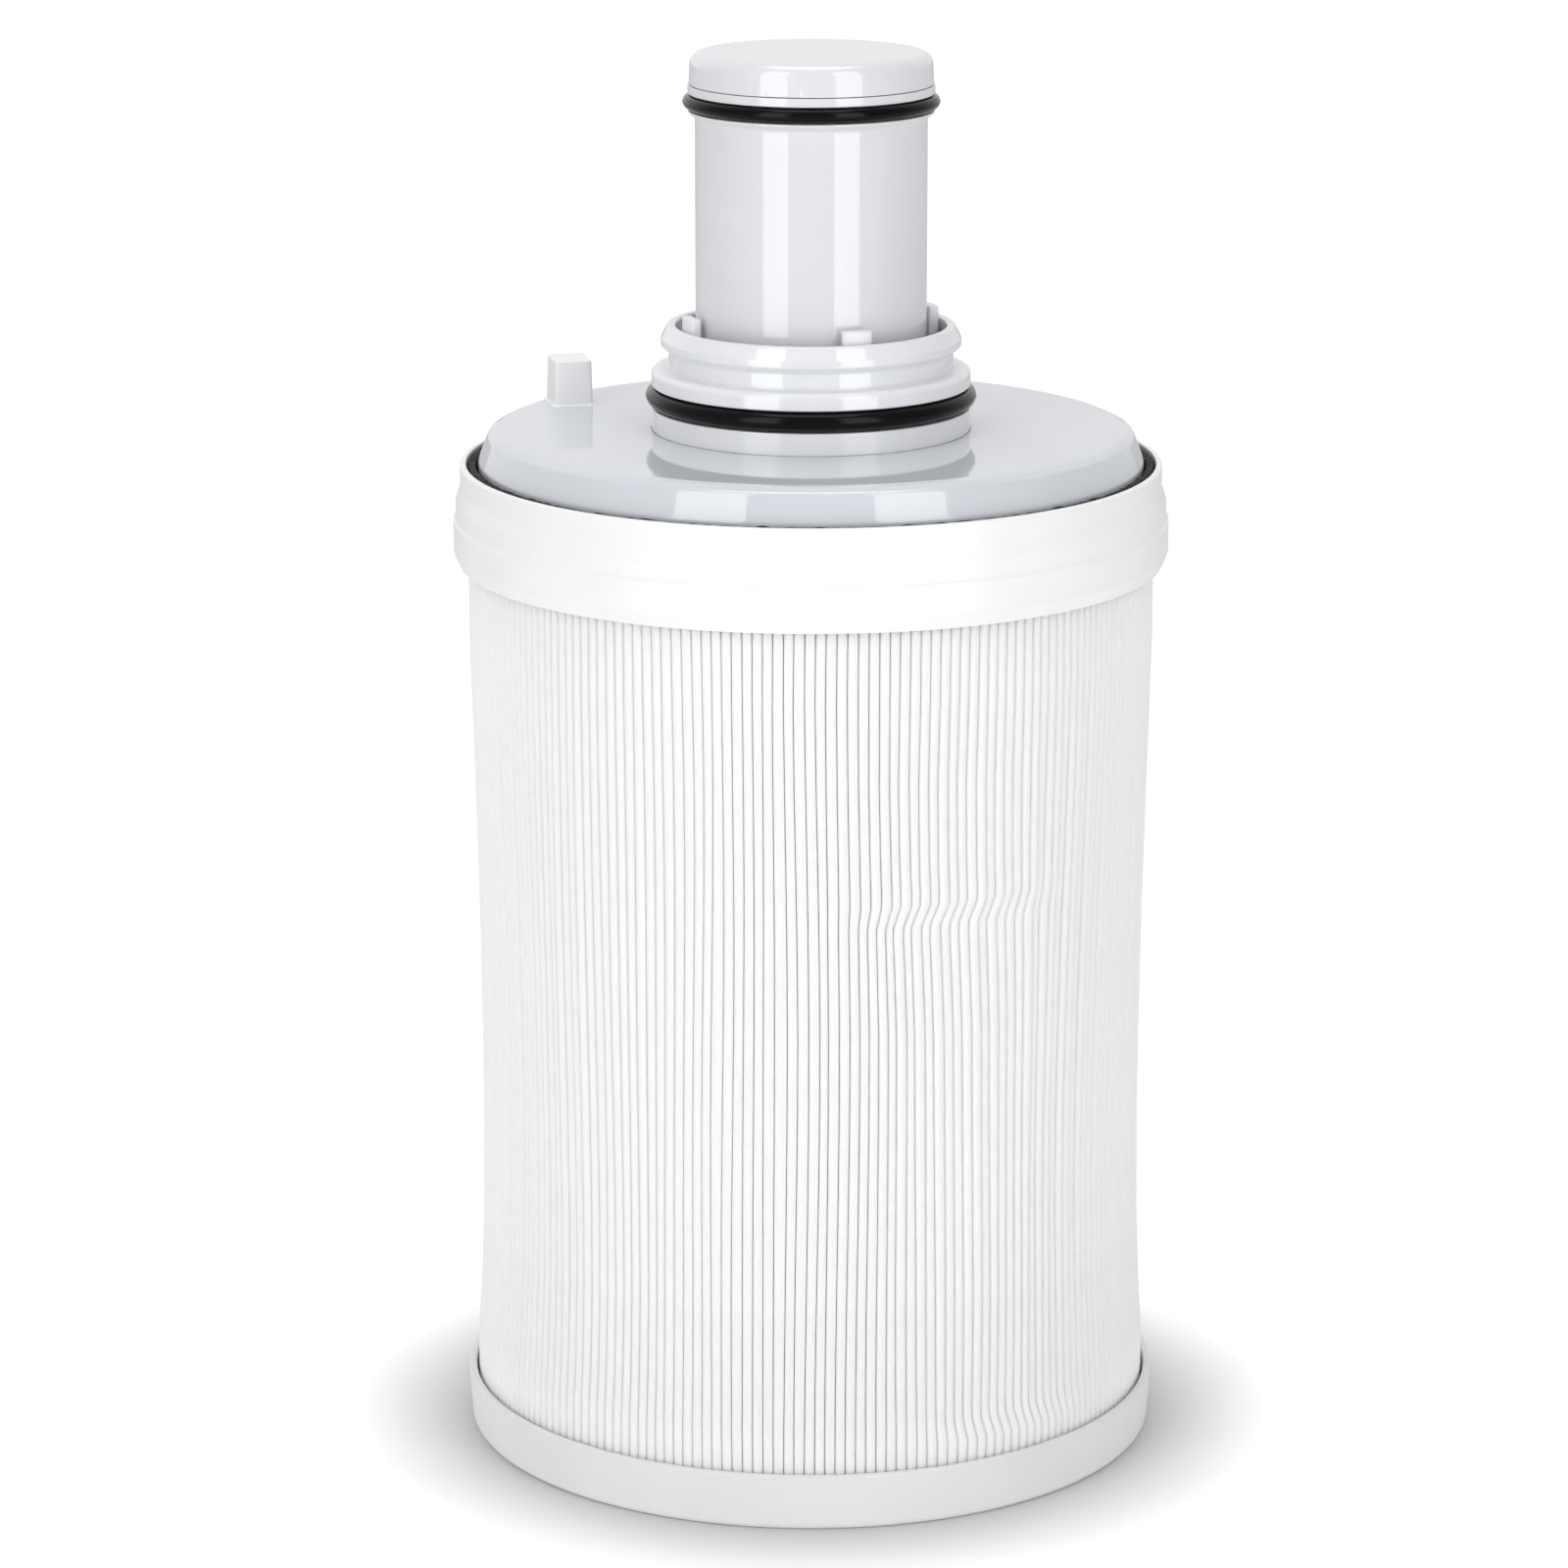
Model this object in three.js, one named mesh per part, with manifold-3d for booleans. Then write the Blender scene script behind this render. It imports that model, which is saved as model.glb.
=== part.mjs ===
// A replaceable water filter cartridge: a pleated prefilter round a carbon block, closed by moulded end
// caps, with an ultraviolet lamp module that turns and pulls out of the collar in its lid.
// Millimetres, +Z up, the origin at the centre of the base. Front is -Y.
import * as THREE from "three";
import { mergeVertices } from "three/addons/utils/BufferGeometryUtils.js";
import Module from "manifold-3d";

const wasm = await Module();
wasm.setup();

// ---- Driving dimensions ----
const FIT = 0.3; // clearance between pieces that touch or slide
const HEIGHT = 271.5; // base to the top of the stem cap

const FACETS = { shell: 48, collar: 40, stem: 32, inner: 24, small: 16 };

const BASE = { radius: 68.1, wall: 1.9, height: 11, floor: 3.2, recess: 1.2, foot: 37 };

const PLEATS = { count: 210, outer: 65, inner: 56, depth: 5.7, bottom: 3.5, top: 186.2 };
const CAGE = { outer: 55.5, wall: 2, rows: 5, columns: 6, window: [22, 28] };

const RING = { skirt: 68.9, neck: 67.5, bore: 66.3, bottom: 173.8, step: 182.3, top: 193.2 };
const WEB = { bottom: 186.5, top: 188.3 }; // the top ring's inner web, which covers the pleats' ends
const SEAL = { inner: 58, outer: 66, bottom: 188.6, top: 190.6, lip: 64.4, lipTop: 192.2 };

const BLOCK = { outer: 50, bore: 24.3, bottom: 8.6, top: 177 };
const WRAP = { inner: 50.3, outer: 51.3 };
const GASKET = { inner: 24.6, thickness: 1.5 };
const CORE = { inner: 22, outer: 24, bottom: 6.8, top: 178.8, rows: 6, columns: 4, slot: [5, 18] };
const CRADLE = { radius: 13, floor: 9, top: 16, boss: 21.4, rimTop: 14 };

const LID = { radius: 64, top: 199.5, plate: 2.5, flat: 59.5, skirt: 190.9 };
const LID_BOSS = { bore: 24.2, radius: 28.5, top: 193.5 }; // presses on the carbon block's gasket
const SHOULDER = [[-0.4, -4.2], [-2.1, -1.1], [-3.0, -0.35]]; // steps in from the edge and down from the top
const LUG = { radius: 54.6, angle: 150.4, turn: 13, width: 7.7, length: 10.2, height: 8.8, taper: 0.94 };

const COLLAR = { outer: 30.6, bore: 25.9, neck: 27.3, spigot: 28.7, shelf: 211.2, rim: 219.6 };
const LIP = { radius: 28.8, z: 216.2 };
const POCKET = { radius: 26.9, bottom: 196.4, top: 201 }; // where the lock ring's flange is held
const COLLAR_SEAL = { cord: 4, centre: 29.9, z: 205.85, groove: 4.2, root: 27.5 };

const LOCK = { flange: 26.6, inner: 24.6, bottom: 196.9, top: 200.7, tabs: 4, tabTop: 222, tabWidth: 5.8 };
const LOCK_TAB = { inner: 23.2, outer: 25.4, first: -69.6, keyInner: 21.1, keyWidth: 3.6, keyTop: 204 };

const STEM = { radius: 22.1, bore: 19.5, bottom: 186, floor: 200, groove: 20.7, grooveTop: 206 };
const STEM_HEAD = { start: 258.7, flange: 23.4, land: 23.5, landTop: 265.45 };
const STEM_SEAL = { cord: 3, centre: 23.1, z: 262.2, groove: 3.2, root: 21.3 };
const CAP = { radius: 23.1, edge: 2.2, bottom: 265.75, roof: 268.8, spigot: 19.2, spigotBottom: 261.5 };
const NOTCH = { width: 6.6, height: 1.6, depth: 1, x: -5.2 };

const SLEEVE = { radius: 12, wall: 1.4, bottom: 11, top: 207, seal: 3, sealSeat: 16 };
const NUT = { bore: 12.6, thread: 17.7, flange: 20.4, bottom: 182.5, flangeTop: 185.7, top: 192.7 };
const LAMP = { radius: 7.5, bottom: 24, top: 205, base: 8.7, baseTop: 219 };
const SPACERS = { lower: 30, upper: 185, height: 6 };
const LEAD = { wire: 0.8, route: [[2.2, 219.3], [2.2, 226], [2.2, 240], [3.6, 250], [3.6, 262]] };
const HOLDER = { bottom: 207.3, top: 235.7, lead: 4, seat: 219.3, bore: 9 };
const BOBBIN = { bottom: 236, top: 261.2, flange: 18.8, hub: 9, bore: 6, cheek: 2 };
const BOARD = { radius: 16.5, bottom: 262.3, thickness: 1.6 };
const CAPACITOR = { near: 4, far: 11, width: 10, height: 3.5 };
const CHIP = { radius: 3.5, thickness: 1 };

// ---- Finishes ----
const finish = (color, roughness, metalness = 0) => ({ color, roughness, metalness });
const WHITE_PLASTIC = finish(0xe4e6ea, 0.3);
const RING_PLASTIC = finish(0xf4f4f4, 0.4);
const LID_PLASTIC = finish(0xdcdfe4, 0.12);
const MEDIA = finish(0xf3f3f1, 0.95);
const RUBBER = finish(0x141414, 0.45);
const CARBON = finish(0x1b1b1c, 0.95);
const QUARTZ = finish(0xe8f2f5, 0.05);
const COPPER = finish(0xb8703c, 0.35, 1);
const BOARD_GREEN = finish(0x2f6b45, 0.5);
const CERAMIC = finish(0xefe9dc, 0.5);

// ---- Shape helpers ----

// A body turned about Z from a profile of [radius, z] points, listed so that the outside runs upwards.
// A profile that starts and ends off the axis is closed into a ring.
function turned(profile, facets) {
  const points = profile.map(([r, z]) => new THREE.Vector2(r, z));
  const ends = [points[0].x, points.at(-1).x];
  if (ends.some((r) => r > 0)) points.push(points[0].clone());
  return new THREE.LatheGeometry(points, facets).rotateX(Math.PI / 2);
}

const ringOf = (inner, outer, bottom, top, facets) =>
  turned([[inner, bottom], [outer, bottom], [outer, top], [inner, top]], facets);

const discOf = (radius, bottom, top, facets) =>
  turned([[0, bottom], [radius, bottom], [radius, top], [0, top]], facets);

// A ring of round cord, as for an O-ring.
function cordRing({ cord, centre, z }, facets, sides = 8) {
  const round = Array.from({ length: sides }, (_, i) => {
    const a = ((i + 0.5) / sides) * 2 * Math.PI;
    return [centre + (cord / 2) * Math.cos(a), z + (cord / 2) * Math.sin(a)];
  });
  return turned(round, facets);
}

// Points of a quarter turn from angle a0 to a1 (degrees) about [r, z].
function arc(r, z, radius, a0, a1, steps) {
  return Array.from({ length: steps + 1 }, (_, i) => {
    const a = THREE.MathUtils.degToRad(a0 + ((a1 - a0) * i) / steps);
    return [r + radius * Math.cos(a), z + radius * Math.sin(a)];
  });
}

// A box from lowest to highest corner, turned about Z by an angle in degrees.
function block([x0, y0, z0], [x1, y1, z1], angle = 0) {
  return new THREE.BoxGeometry(x1 - x0, y1 - y0, z1 - z0)
    .translate((x0 + x1) / 2, (y0 + y1) / 2, (z0 + z1) / 2)
    .rotateZ(THREE.MathUtils.degToRad(angle));
}

// Angle about +X of a piece that stands at an angle from the front (-Y) towards +X.
const fromFront = (degrees) => degrees - 90;

// ---- Joining and cutting ----
function solid(geometry) {
  const bare = geometry.clone();
  bare.deleteAttribute("normal");
  bare.deleteAttribute("uv");
  const merged = mergeVertices(bare, 1e-3);
  const vertProperties = merged.attributes.position.array;
  const triVerts = new Uint32Array(merged.index.array);
  return new wasm.Manifold(new wasm.Mesh({ numProp: 3, vertProperties, triVerts }));
}

function geometryOf(body) {
  const { vertProperties, triVerts } = body.getMesh();
  const geometry = new THREE.BufferGeometry();
  geometry.setAttribute("position", new THREE.BufferAttribute(vertProperties, 3));
  geometry.setIndex(new THREE.BufferAttribute(triVerts, 1));
  return geometry;
}

const cut = (geometry, tools) =>
  geometryOf(tools.reduce((body, tool) => body.subtract(solid(tool)), solid(geometry)));

const join = (geometry, pieces) =>
  geometryOf(pieces.reduce((body, piece) => body.add(solid(piece)), solid(geometry)));

// Boxes that cut a grid of windows through a tube's wall.
function windows({ rows, columns, reach, size: [width, height], bottom, top }) {
  const pitch = (top - bottom) / rows;
  const tools = [];
  for (let row = 0; row < rows; row++)
    for (let column = 0; column < columns; column++) {
      const z = bottom + (row + 0.5) * pitch;
      const angle = ((column + (row % 2) / 2) / columns) * 360;
      const corners = [-1, 1].map((end, i) => [reach[i], (end * width) / 2, z + (end * height) / 2]);
      tools.push(block(...corners, angle));
    }
  return tools;
}

// ---- The cartridge's own pieces ----

function bottomCap() {
  const { radius, wall, height, floor, recess, foot } = BASE;
  return turned([
    [0, recess], [foot - 1, recess], [foot, 0], [radius - 0.8, 0], [radius, 0.8],
    [radius, height - 0.6], [radius - 0.6, height], [radius - wall, height],
    [radius - wall, floor], [0, floor],
  ], FACETS.shell);
}

// A zigzag wall: the outer line runs between tip and root radius, the inner one the same, further in.
function pleatedMedia() {
  const { count, outer, inner, depth, bottom, top } = PLEATS;
  const zigzag = (tip, root) => Array.from({ length: 2 * count }, (_, i) => {
    const a = (i / (2 * count)) * 2 * Math.PI;
    const r = i % 2 ? root : tip;
    return new THREE.Vector2(r * Math.cos(a), r * Math.sin(a));
  });
  const shape = new THREE.Shape(zigzag(outer, outer - depth));
  shape.holes.push(new THREE.Path(zigzag(inner + depth, inner)));
  const wall = new THREE.ExtrudeGeometry(shape, { depth: top - bottom, bevelEnabled: false });
  return wall.translate(0, 0, bottom);
}

function prefilterCore() {
  const { outer, wall, rows, columns, window } = CAGE;
  const { bottom, top } = PLEATS;
  const reach = [outer - wall - 2, outer + 2];
  const tube = ringOf(outer - wall, outer, bottom, top, FACETS.inner);
  return cut(tube, windows({ rows, columns, reach, size: window, bottom, top }));
}

function topRing() {
  const { skirt, neck, bore, bottom, step, top } = RING;
  const inside = CAGE.outer - CAGE.wall - FIT;
  return turned([
    [inside, WEB.bottom], [bore, WEB.bottom], [bore, bottom + 0.6], [bore + 0.6, bottom],
    [skirt - 0.4, bottom], [skirt, bottom + 0.4], [skirt, step], [skirt - 0.6, step + 0.7], [neck, step + 4],
    [neck, top - 1.3], [neck - 0.3, top - 0.3], [neck - 0.6, top], [bore + 0.3, top - 0.1],
    [bore, top - 0.6], [bore, WEB.top], [inside, WEB.top],
  ], FACETS.shell);
}

// A flat band under the lid's skirt, with a lip that fills the gap between the lid and the ring's bore.
function rimSeal() {
  const { inner, outer, bottom, top, lip, lipTop } = SEAL;
  return turned(
    [[inner, bottom], [outer, bottom], [outer, lipTop], [lip, lipTop], [lip, top], [inner, top]],
    FACETS.shell,
  );
}

function lowerEndCap() {
  const bottom = BASE.floor + FIT;
  const floor = CORE.bottom - FIT;
  const rim = WRAP.outer + FIT;
  const { boss, radius, top, rimTop, floor: cup } = CRADLE;
  return turned([
    [0, bottom], [rim + 1.5, bottom], [rim + 1.5, rimTop], [rim, rimTop], [rim, floor],
    [boss, floor], [boss, top], [radius, top], [radius, cup], [0, cup],
  ], FACETS.inner);
}

const blockGasket = (bottom) =>
  ringOf(GASKET.inner, BLOCK.outer, bottom, bottom + GASKET.thickness, FACETS.inner);

const carbonBlock = () => ringOf(BLOCK.bore, BLOCK.outer, BLOCK.bottom, BLOCK.top, FACETS.inner);

const carbonWrap = () => ringOf(WRAP.inner, WRAP.outer, CORE.bottom, CORE.top, FACETS.inner);

function coreTube() {
  const { inner, outer, bottom, top, rows, columns, slot } = CORE;
  const tube = ringOf(inner, outer, bottom, top, FACETS.inner);
  const reach = [inner - 3, outer + 3];
  const tools = windows({ rows, columns, reach, size: slot, bottom: CRADLE.top, top });
  return cut(tube, tools);
}

// The lid's locating lug: a block with drafted sides, standing near the edge and sunk 1 mm into the lid.
function indexLug() {
  const { radius, angle, turn, width, length, height, taper } = LUG;
  const lug = new THREE.BoxGeometry(width, length, height + 1);
  const p = lug.attributes.position;
  for (let i = 0; i < p.count; i++)
    if (p.getZ(i) > 0) p.setXY(i, p.getX(i) * taper, p.getY(i) * taper);
  lug.rotateZ(THREE.MathUtils.degToRad(turn));
  const a = THREE.MathUtils.degToRad(angle);
  return lug.translate(radius * Math.cos(a), radius * Math.sin(a), LID.top + (height - 1) / 2);
}

// A shallow recess in the lid's top keeps the collar's foot from resting on the flat.
function upperEndCap() {
  const { radius, top, plate, flat, skirt } = LID;
  const { bore, radius: boss, top: bossTop } = LID_BOSS;
  const under = top - plate;
  const seat = CORE.top + FIT;
  const hole = COLLAR.spigot + FIT;
  const recess = COLLAR.outer + FIT;
  const shell = turned([
    [bore, seat], [boss, seat], [boss, bossTop], [hole + 3, bossTop], [hole + 4.5, under], [flat, under],
    [radius - plate, under - 4], [radius - plate, skirt], [radius, skirt], [radius, top - 5.1],
    ...SHOULDER.map(([inwards, down]) => [radius + inwards, top + down]), [flat, top],
    [recess, top], [recess, top - FIT], [hole, top - FIT], [hole, POCKET.bottom], [bore, POCKET.bottom],
  ], FACETS.shell);
  return join(shell, [indexLug()]);
}

function outletCollar() {
  const { outer, bore, neck, spigot, shelf, rim } = COLLAR;
  const { radius: lip, z: lipHeight } = LIP;
  const { z, groove, root } = COLLAR_SEAL;
  const foot = LID.top;
  return turned([
    [POCKET.radius, POCKET.bottom + FIT], [spigot, POCKET.bottom + FIT], [spigot, foot], [outer, foot],
    [outer, z - groove / 2], [root, z - groove / 2], [root, z + groove / 2], [outer, z + groove / 2],
    [outer, shelf - 0.5], [outer - 0.5, shelf], [neck + 0.6, shelf], [neck, shelf + 0.7],
    [neck, lipHeight - 1.9], [lip - 0.4, lipHeight - 0.8], [lip, lipHeight],
    [lip - 0.2, lipHeight + 1.4], [neck + 0.5, rim - 0.6],
    [neck - 0.1, rim],
    [bore, rim], [bore, POCKET.top], [POCKET.radius, POCKET.top],
  ], FACETS.collar);
}

// ---- The lock ring: a flange held under the collar, with four tabs that reach up beside the stem ----

function lockRing() {
  const { flange, inner, bottom, top, tabs, tabTop, tabWidth } = LOCK;
  const { inner: tabInner, outer: tabOuter, first, keyInner, keyWidth, keyTop } = LOCK_TAB;
  const pieces = [];
  for (let i = 0; i < tabs; i++) {
    const angle = fromFront(first + (i * 360) / tabs);
    pieces.push(block([tabInner, -tabWidth / 2, bottom], [tabOuter, tabWidth / 2, tabTop], angle));
    pieces.push(block([keyInner, -keyWidth / 2, bottom], [tabInner + 1, keyWidth / 2, keyTop], angle));
  }
  return join(ringOf(inner, flange, bottom, top, FACETS.stem), pieces);
}

// ---- The lamp module's pieces ----

function stemHousing() {
  const { radius, bore, bottom, floor, groove, grooveTop } = STEM;
  const { start, flange, land, landTop } = STEM_HEAD;
  const { z, groove: gap, root } = STEM_SEAL;
  const seat = NUT.thread + FIT;
  const shell = turned([
    [seat, bottom], [radius, bottom], [radius, start], [radius + 0.6, start + 0.6], [flange, start + 1.5],
    [flange, z - gap / 2], [root, z - gap / 2], [root, z + gap / 2], [land, z + gap / 2], [land, landTop],
    [bore, landTop], [bore, floor], [SLEEVE.radius + 0.4, floor], [SLEEVE.radius + 0.4, floor - 3.4],
    [SLEEVE.sealSeat, floor - 3.4], [SLEEVE.sealSeat, NUT.top + FIT], [seat, NUT.top + FIT],
  ], FACETS.stem);
  const width = LOCK_TAB.keyWidth + 0.6;
  const slots = Array.from({ length: LOCK.tabs }, (_, i) => block(
    [groove, -width / 2, bottom - 1], [radius + 2, width / 2, grooveTop],
    fromFront(LOCK_TAB.first + (i * 360) / LOCK.tabs),
  ));
  return cut(shell, slots);
}

function stemCap() {
  const { radius, edge, bottom, roof, spigot, spigotBottom } = CAP;
  const wall = 2;
  const shell = turned([
    [0, roof], [spigot - wall, roof], [spigot - wall, spigotBottom], [spigot, spigotBottom],
    [spigot, bottom], [radius + 0.15, bottom],
    ...arc(radius - 0.15 - edge, HEIGHT - edge, edge, 0, 90, 3), [0, HEIGHT],
  ], FACETS.stem);
  const half = NOTCH.width / 2;
  const notch = block(
    [NOTCH.x - half, -radius - 2, bottom - 1],
    [NOTCH.x + half, -radius + NOTCH.depth, bottom + NOTCH.height],
  );
  return cut(shell, [notch]);
}

function coilBobbin() {
  const { bottom, top, flange, hub, bore, cheek } = BOBBIN;
  return turned([
    [bore, bottom], [flange, bottom], [flange, bottom + cheek], [hub, bottom + cheek],
    [hub, top - cheek], [flange, top - cheek], [flange, top], [bore, top],
  ], FACETS.inner);
}

const secondaryCoil = () => ringOf(
  BOBBIN.hub + FIT, BOBBIN.flange - 1.3, BOBBIN.bottom + BOBBIN.cheek + FIT,
  BOBBIN.top - BOBBIN.cheek - FIT, FACETS.inner,
);

const circuitBoard = () => discOf(BOARD.radius, BOARD.bottom, BOARD.bottom + BOARD.thickness, FACETS.small);

function resonantCapacitor() {
  const seat = BOARD.bottom + BOARD.thickness + FIT;
  const { near, far, width, height } = CAPACITOR;
  return block([near, -width / 2, seat], [far, width / 2, seat + height]);
}

const chipTag = () => discOf(CHIP.radius, CAP.roof - FIT - CHIP.thickness, CAP.roof - FIT, FACETS.small);

function lampHolder() {
  const { bottom, top, lead, seat, bore } = HOLDER;
  const outer = STEM.bore - FIT;
  return turned([
    [bore, bottom], [outer, bottom], [outer, top], [lead, top], [lead, seat], [bore, seat],
  ], FACETS.inner);
}

// A lead runs from the lamp's base up through the holder and the bobbin to the circuit board.
function lampLead(side) {
  const { wire, route: points } = LEAD;
  const route = new THREE.CatmullRomCurve3(points.map(([x, z]) => new THREE.Vector3(side * x, 0, z)));
  const section = new THREE.Shape(Array.from({ length: 6 }, (_, i) => {
    const a = (i / 6) * 2 * Math.PI;
    return new THREE.Vector2(wire * Math.cos(a), wire * Math.sin(a));
  }));
  return new THREE.ExtrudeGeometry(section, { steps: 8, extrudePath: route, bevelEnabled: false });
}

const lampBase = () => discOf(LAMP.base, LAMP.top + FIT, LAMP.baseTop, FACETS.small);

const uvLamp = () => turned([
  [0, LAMP.bottom], [LAMP.radius - 2.5, LAMP.bottom + 0.6], [LAMP.radius, LAMP.bottom + 3.5],
  [LAMP.radius, LAMP.top], [0, LAMP.top],
], FACETS.small);

// A tube closed below by a hemisphere and open at the top.
function quartzSleeve() {
  const { radius, wall, bottom, top } = SLEEVE;
  const middle = bottom + radius;
  const steps = 4;
  const outside = arc(0, middle, radius, -90, 0, steps).slice(1);
  const inside = arc(0, middle, radius - wall, 0, -90, steps).slice(0, steps);
  return turned([
    [0, bottom], ...outside, [radius, top], [radius - wall, top], ...inside, [0, bottom + wall],
  ], FACETS.inner);
}

function sleeveSeal() {
  const cord = SLEEVE.seal;
  const centre = SLEEVE.radius + FIT + cord / 2;
  return cordRing({ cord, centre, z: NUT.top + 2 * FIT + cord / 2 }, FACETS.inner, 6);
}

function sleeveNut() {
  const { bore, thread, flange, bottom, flangeTop, top } = NUT;
  return turned([
    [bore, bottom], [flange, bottom], [flange, flangeTop], [thread, flangeTop], [thread, top], [bore, top],
  ], FACETS.inner);
}

const lampSpacer = (bottom) => ringOf(
  LAMP.radius + FIT, SLEEVE.radius - SLEEVE.wall - FIT, bottom, bottom + SPACERS.height, FACETS.small,
);

// ---- Assembly ----
function piece(name, geometry, look) {
  const mesh = new THREE.Mesh(geometry, new THREE.MeshStandardMaterial(look));
  mesh.name = name;
  return mesh;
}

const cartridge = new THREE.Group().add(
  piece("bottom_cap", bottomCap(), WHITE_PLASTIC),
  piece("pleated_media", pleatedMedia(), MEDIA),
  piece("prefilter_core", prefilterCore(), WHITE_PLASTIC),
  piece("top_ring", topRing(), RING_PLASTIC),
  piece("rim_seal", rimSeal(), RUBBER),
  piece("lower_end_cap", lowerEndCap(), WHITE_PLASTIC),
  piece("lower_block_gasket", blockGasket(CORE.bottom), RUBBER),
  piece("carbon_block", carbonBlock(), CARBON),
  piece("upper_block_gasket", blockGasket(BLOCK.top + FIT), RUBBER),
  piece("carbon_wrap", carbonWrap(), MEDIA),
  piece("core_tube", coreTube(), WHITE_PLASTIC),
  piece("upper_end_cap", upperEndCap(), LID_PLASTIC),
  piece("outlet_collar", outletCollar(), WHITE_PLASTIC),
  piece("collar_o_ring", cordRing(COLLAR_SEAL, FACETS.collar), RUBBER),
);

const lampModule = new THREE.Group().add(
  piece("stem_housing", stemHousing(), WHITE_PLASTIC),
  piece("stem_cap", stemCap(), WHITE_PLASTIC),
  piece("stem_o_ring", cordRing(STEM_SEAL, FACETS.stem), RUBBER),
  piece("coil_bobbin", coilBobbin(), WHITE_PLASTIC),
  piece("secondary_coil", secondaryCoil(), COPPER),
  piece("circuit_board", circuitBoard(), BOARD_GREEN),
  piece("resonant_capacitor", resonantCapacitor(), CERAMIC),
  piece("chip_tag", chipTag(), BOARD_GREEN),
  piece("lamp_holder", lampHolder(), WHITE_PLASTIC),
  piece("lamp_lead_a", lampLead(1), RUBBER),
  piece("lamp_lead_b", lampLead(-1), RUBBER),
  piece("lamp_base", lampBase(), CERAMIC),
  piece("uv_lamp", uvLamp(), QUARTZ),
  piece("quartz_sleeve", quartzSleeve(), QUARTZ),
  piece("sleeve_o_ring", sleeveSeal(), RUBBER),
  piece("sleeve_nut", sleeveNut(), WHITE_PLASTIC),
  piece("lamp_spacer_lower", lampSpacer(SPACERS.lower), RUBBER),
  piece("lamp_spacer_upper", lampSpacer(SPACERS.upper), RUBBER),
);

const filter = new THREE.Group().add(cartridge, piece("lock_ring", lockRing(), RING_PLASTIC), lampModule);

export default filter;
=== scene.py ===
# %% [markdown]
# # A water filter cartridge
# This is the part of a countertop water purifier that is thrown away once a year. Water comes in through
# the white pleats, passes a block of pressed carbon, rises past an ultraviolet lamp in the middle and
# leaves by the collar. The lamp sits in the narrow stem, which turns a little and pulls out of the
# collar.
#
# The solid model fixes every size and everything that moves. Here its plain faceted pieces are redrawn as
# smooth surfaces, worked out with numpy, and given finishes.

# %% Load the fixed frame
import math

import bpy
import numpy as np
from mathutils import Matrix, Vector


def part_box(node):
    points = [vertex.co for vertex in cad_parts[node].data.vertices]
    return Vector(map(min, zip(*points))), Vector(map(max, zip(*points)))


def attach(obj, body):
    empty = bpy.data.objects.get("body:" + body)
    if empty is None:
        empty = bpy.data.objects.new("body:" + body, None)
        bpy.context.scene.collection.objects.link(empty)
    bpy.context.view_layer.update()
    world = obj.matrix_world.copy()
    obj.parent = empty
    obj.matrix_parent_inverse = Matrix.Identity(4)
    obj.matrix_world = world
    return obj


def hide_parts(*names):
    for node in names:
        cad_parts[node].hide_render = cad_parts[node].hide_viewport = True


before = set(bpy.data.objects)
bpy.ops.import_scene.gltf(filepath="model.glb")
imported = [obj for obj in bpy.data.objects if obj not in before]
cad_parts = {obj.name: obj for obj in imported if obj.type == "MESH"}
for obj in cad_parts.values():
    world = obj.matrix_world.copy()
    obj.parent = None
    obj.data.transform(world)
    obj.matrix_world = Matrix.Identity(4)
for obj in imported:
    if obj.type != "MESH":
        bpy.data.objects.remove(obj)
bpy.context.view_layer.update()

MM = 0.001

# %% [markdown]
# ## Where things are
# Every size in this file is in millimetres until a mesh is made, because that is how moulded parts are
# drawn. Heights and radii are read from the solid pieces' boxes, so nothing has to be fitted afterwards.

# %% Heights and radii from the frame
def low(node):
    """Height of a node's lowest point, in mm."""
    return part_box(node)[0].z / MM


def high(node):
    """Height of a node's highest point, in mm."""
    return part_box(node)[1].z / MM


def radius(node):
    """Largest radius of a round node, in mm: half its width along X."""
    corner_a, corner_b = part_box(node)
    return (corner_b.x - corner_a.x) / 2 / MM


def extent(node):
    """Largest radius, lowest height and highest height of a round node, in mm."""
    return radius(node), low(node), high(node)


PI = math.pi
print("stem housing's radius, foot and top:", [round(v, 2) for v in extent("stem_housing")])

# %% [markdown]
# ## The studio
# White goods are shown on a white sweep between tall, narrow softboxes. On a glossy cylinder each box
# shows as one upright bright band with crisp edges, which is what tells the eye that the stem is
# polished. The boxes stand close enough for the floor not to hide them in the stem's reflection, and they
# are hidden from the camera itself, so that they don't show as white panels from other sides.

# %% Camera
CAMERA_AT = (0.0, -1.0601, 0.3967)
CAMERA_PITCH_DEG = 14.19
CAMERA_YAW_DEG = 0.28
CAMERA_LENS = 128.55

camera_data = bpy.data.cameras.new("camera")
camera_data.lens = CAMERA_LENS
camera_data.sensor_width = 36.0
camera_data.clip_start = 0.05
camera_data.clip_end = 40.0
camera = bpy.data.objects.new("camera", camera_data)
camera.location = CAMERA_AT
camera.rotation_euler = (math.radians(90 - CAMERA_PITCH_DEG), 0.0, math.radians(CAMERA_YAW_DEG))
bpy.context.scene.collection.objects.link(camera)
bpy.context.scene.camera = camera
print("camera looks down", CAMERA_PITCH_DEG, "degrees from", CAMERA_AT)

# %% Lights
STRIP = {"distance": 0.60, "angle": 35.0, "width": 0.27, "height": 0.95, "power": 1.8}
TOP = {"height": 1.3, "size": 0.7, "power": 3.9}


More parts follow.
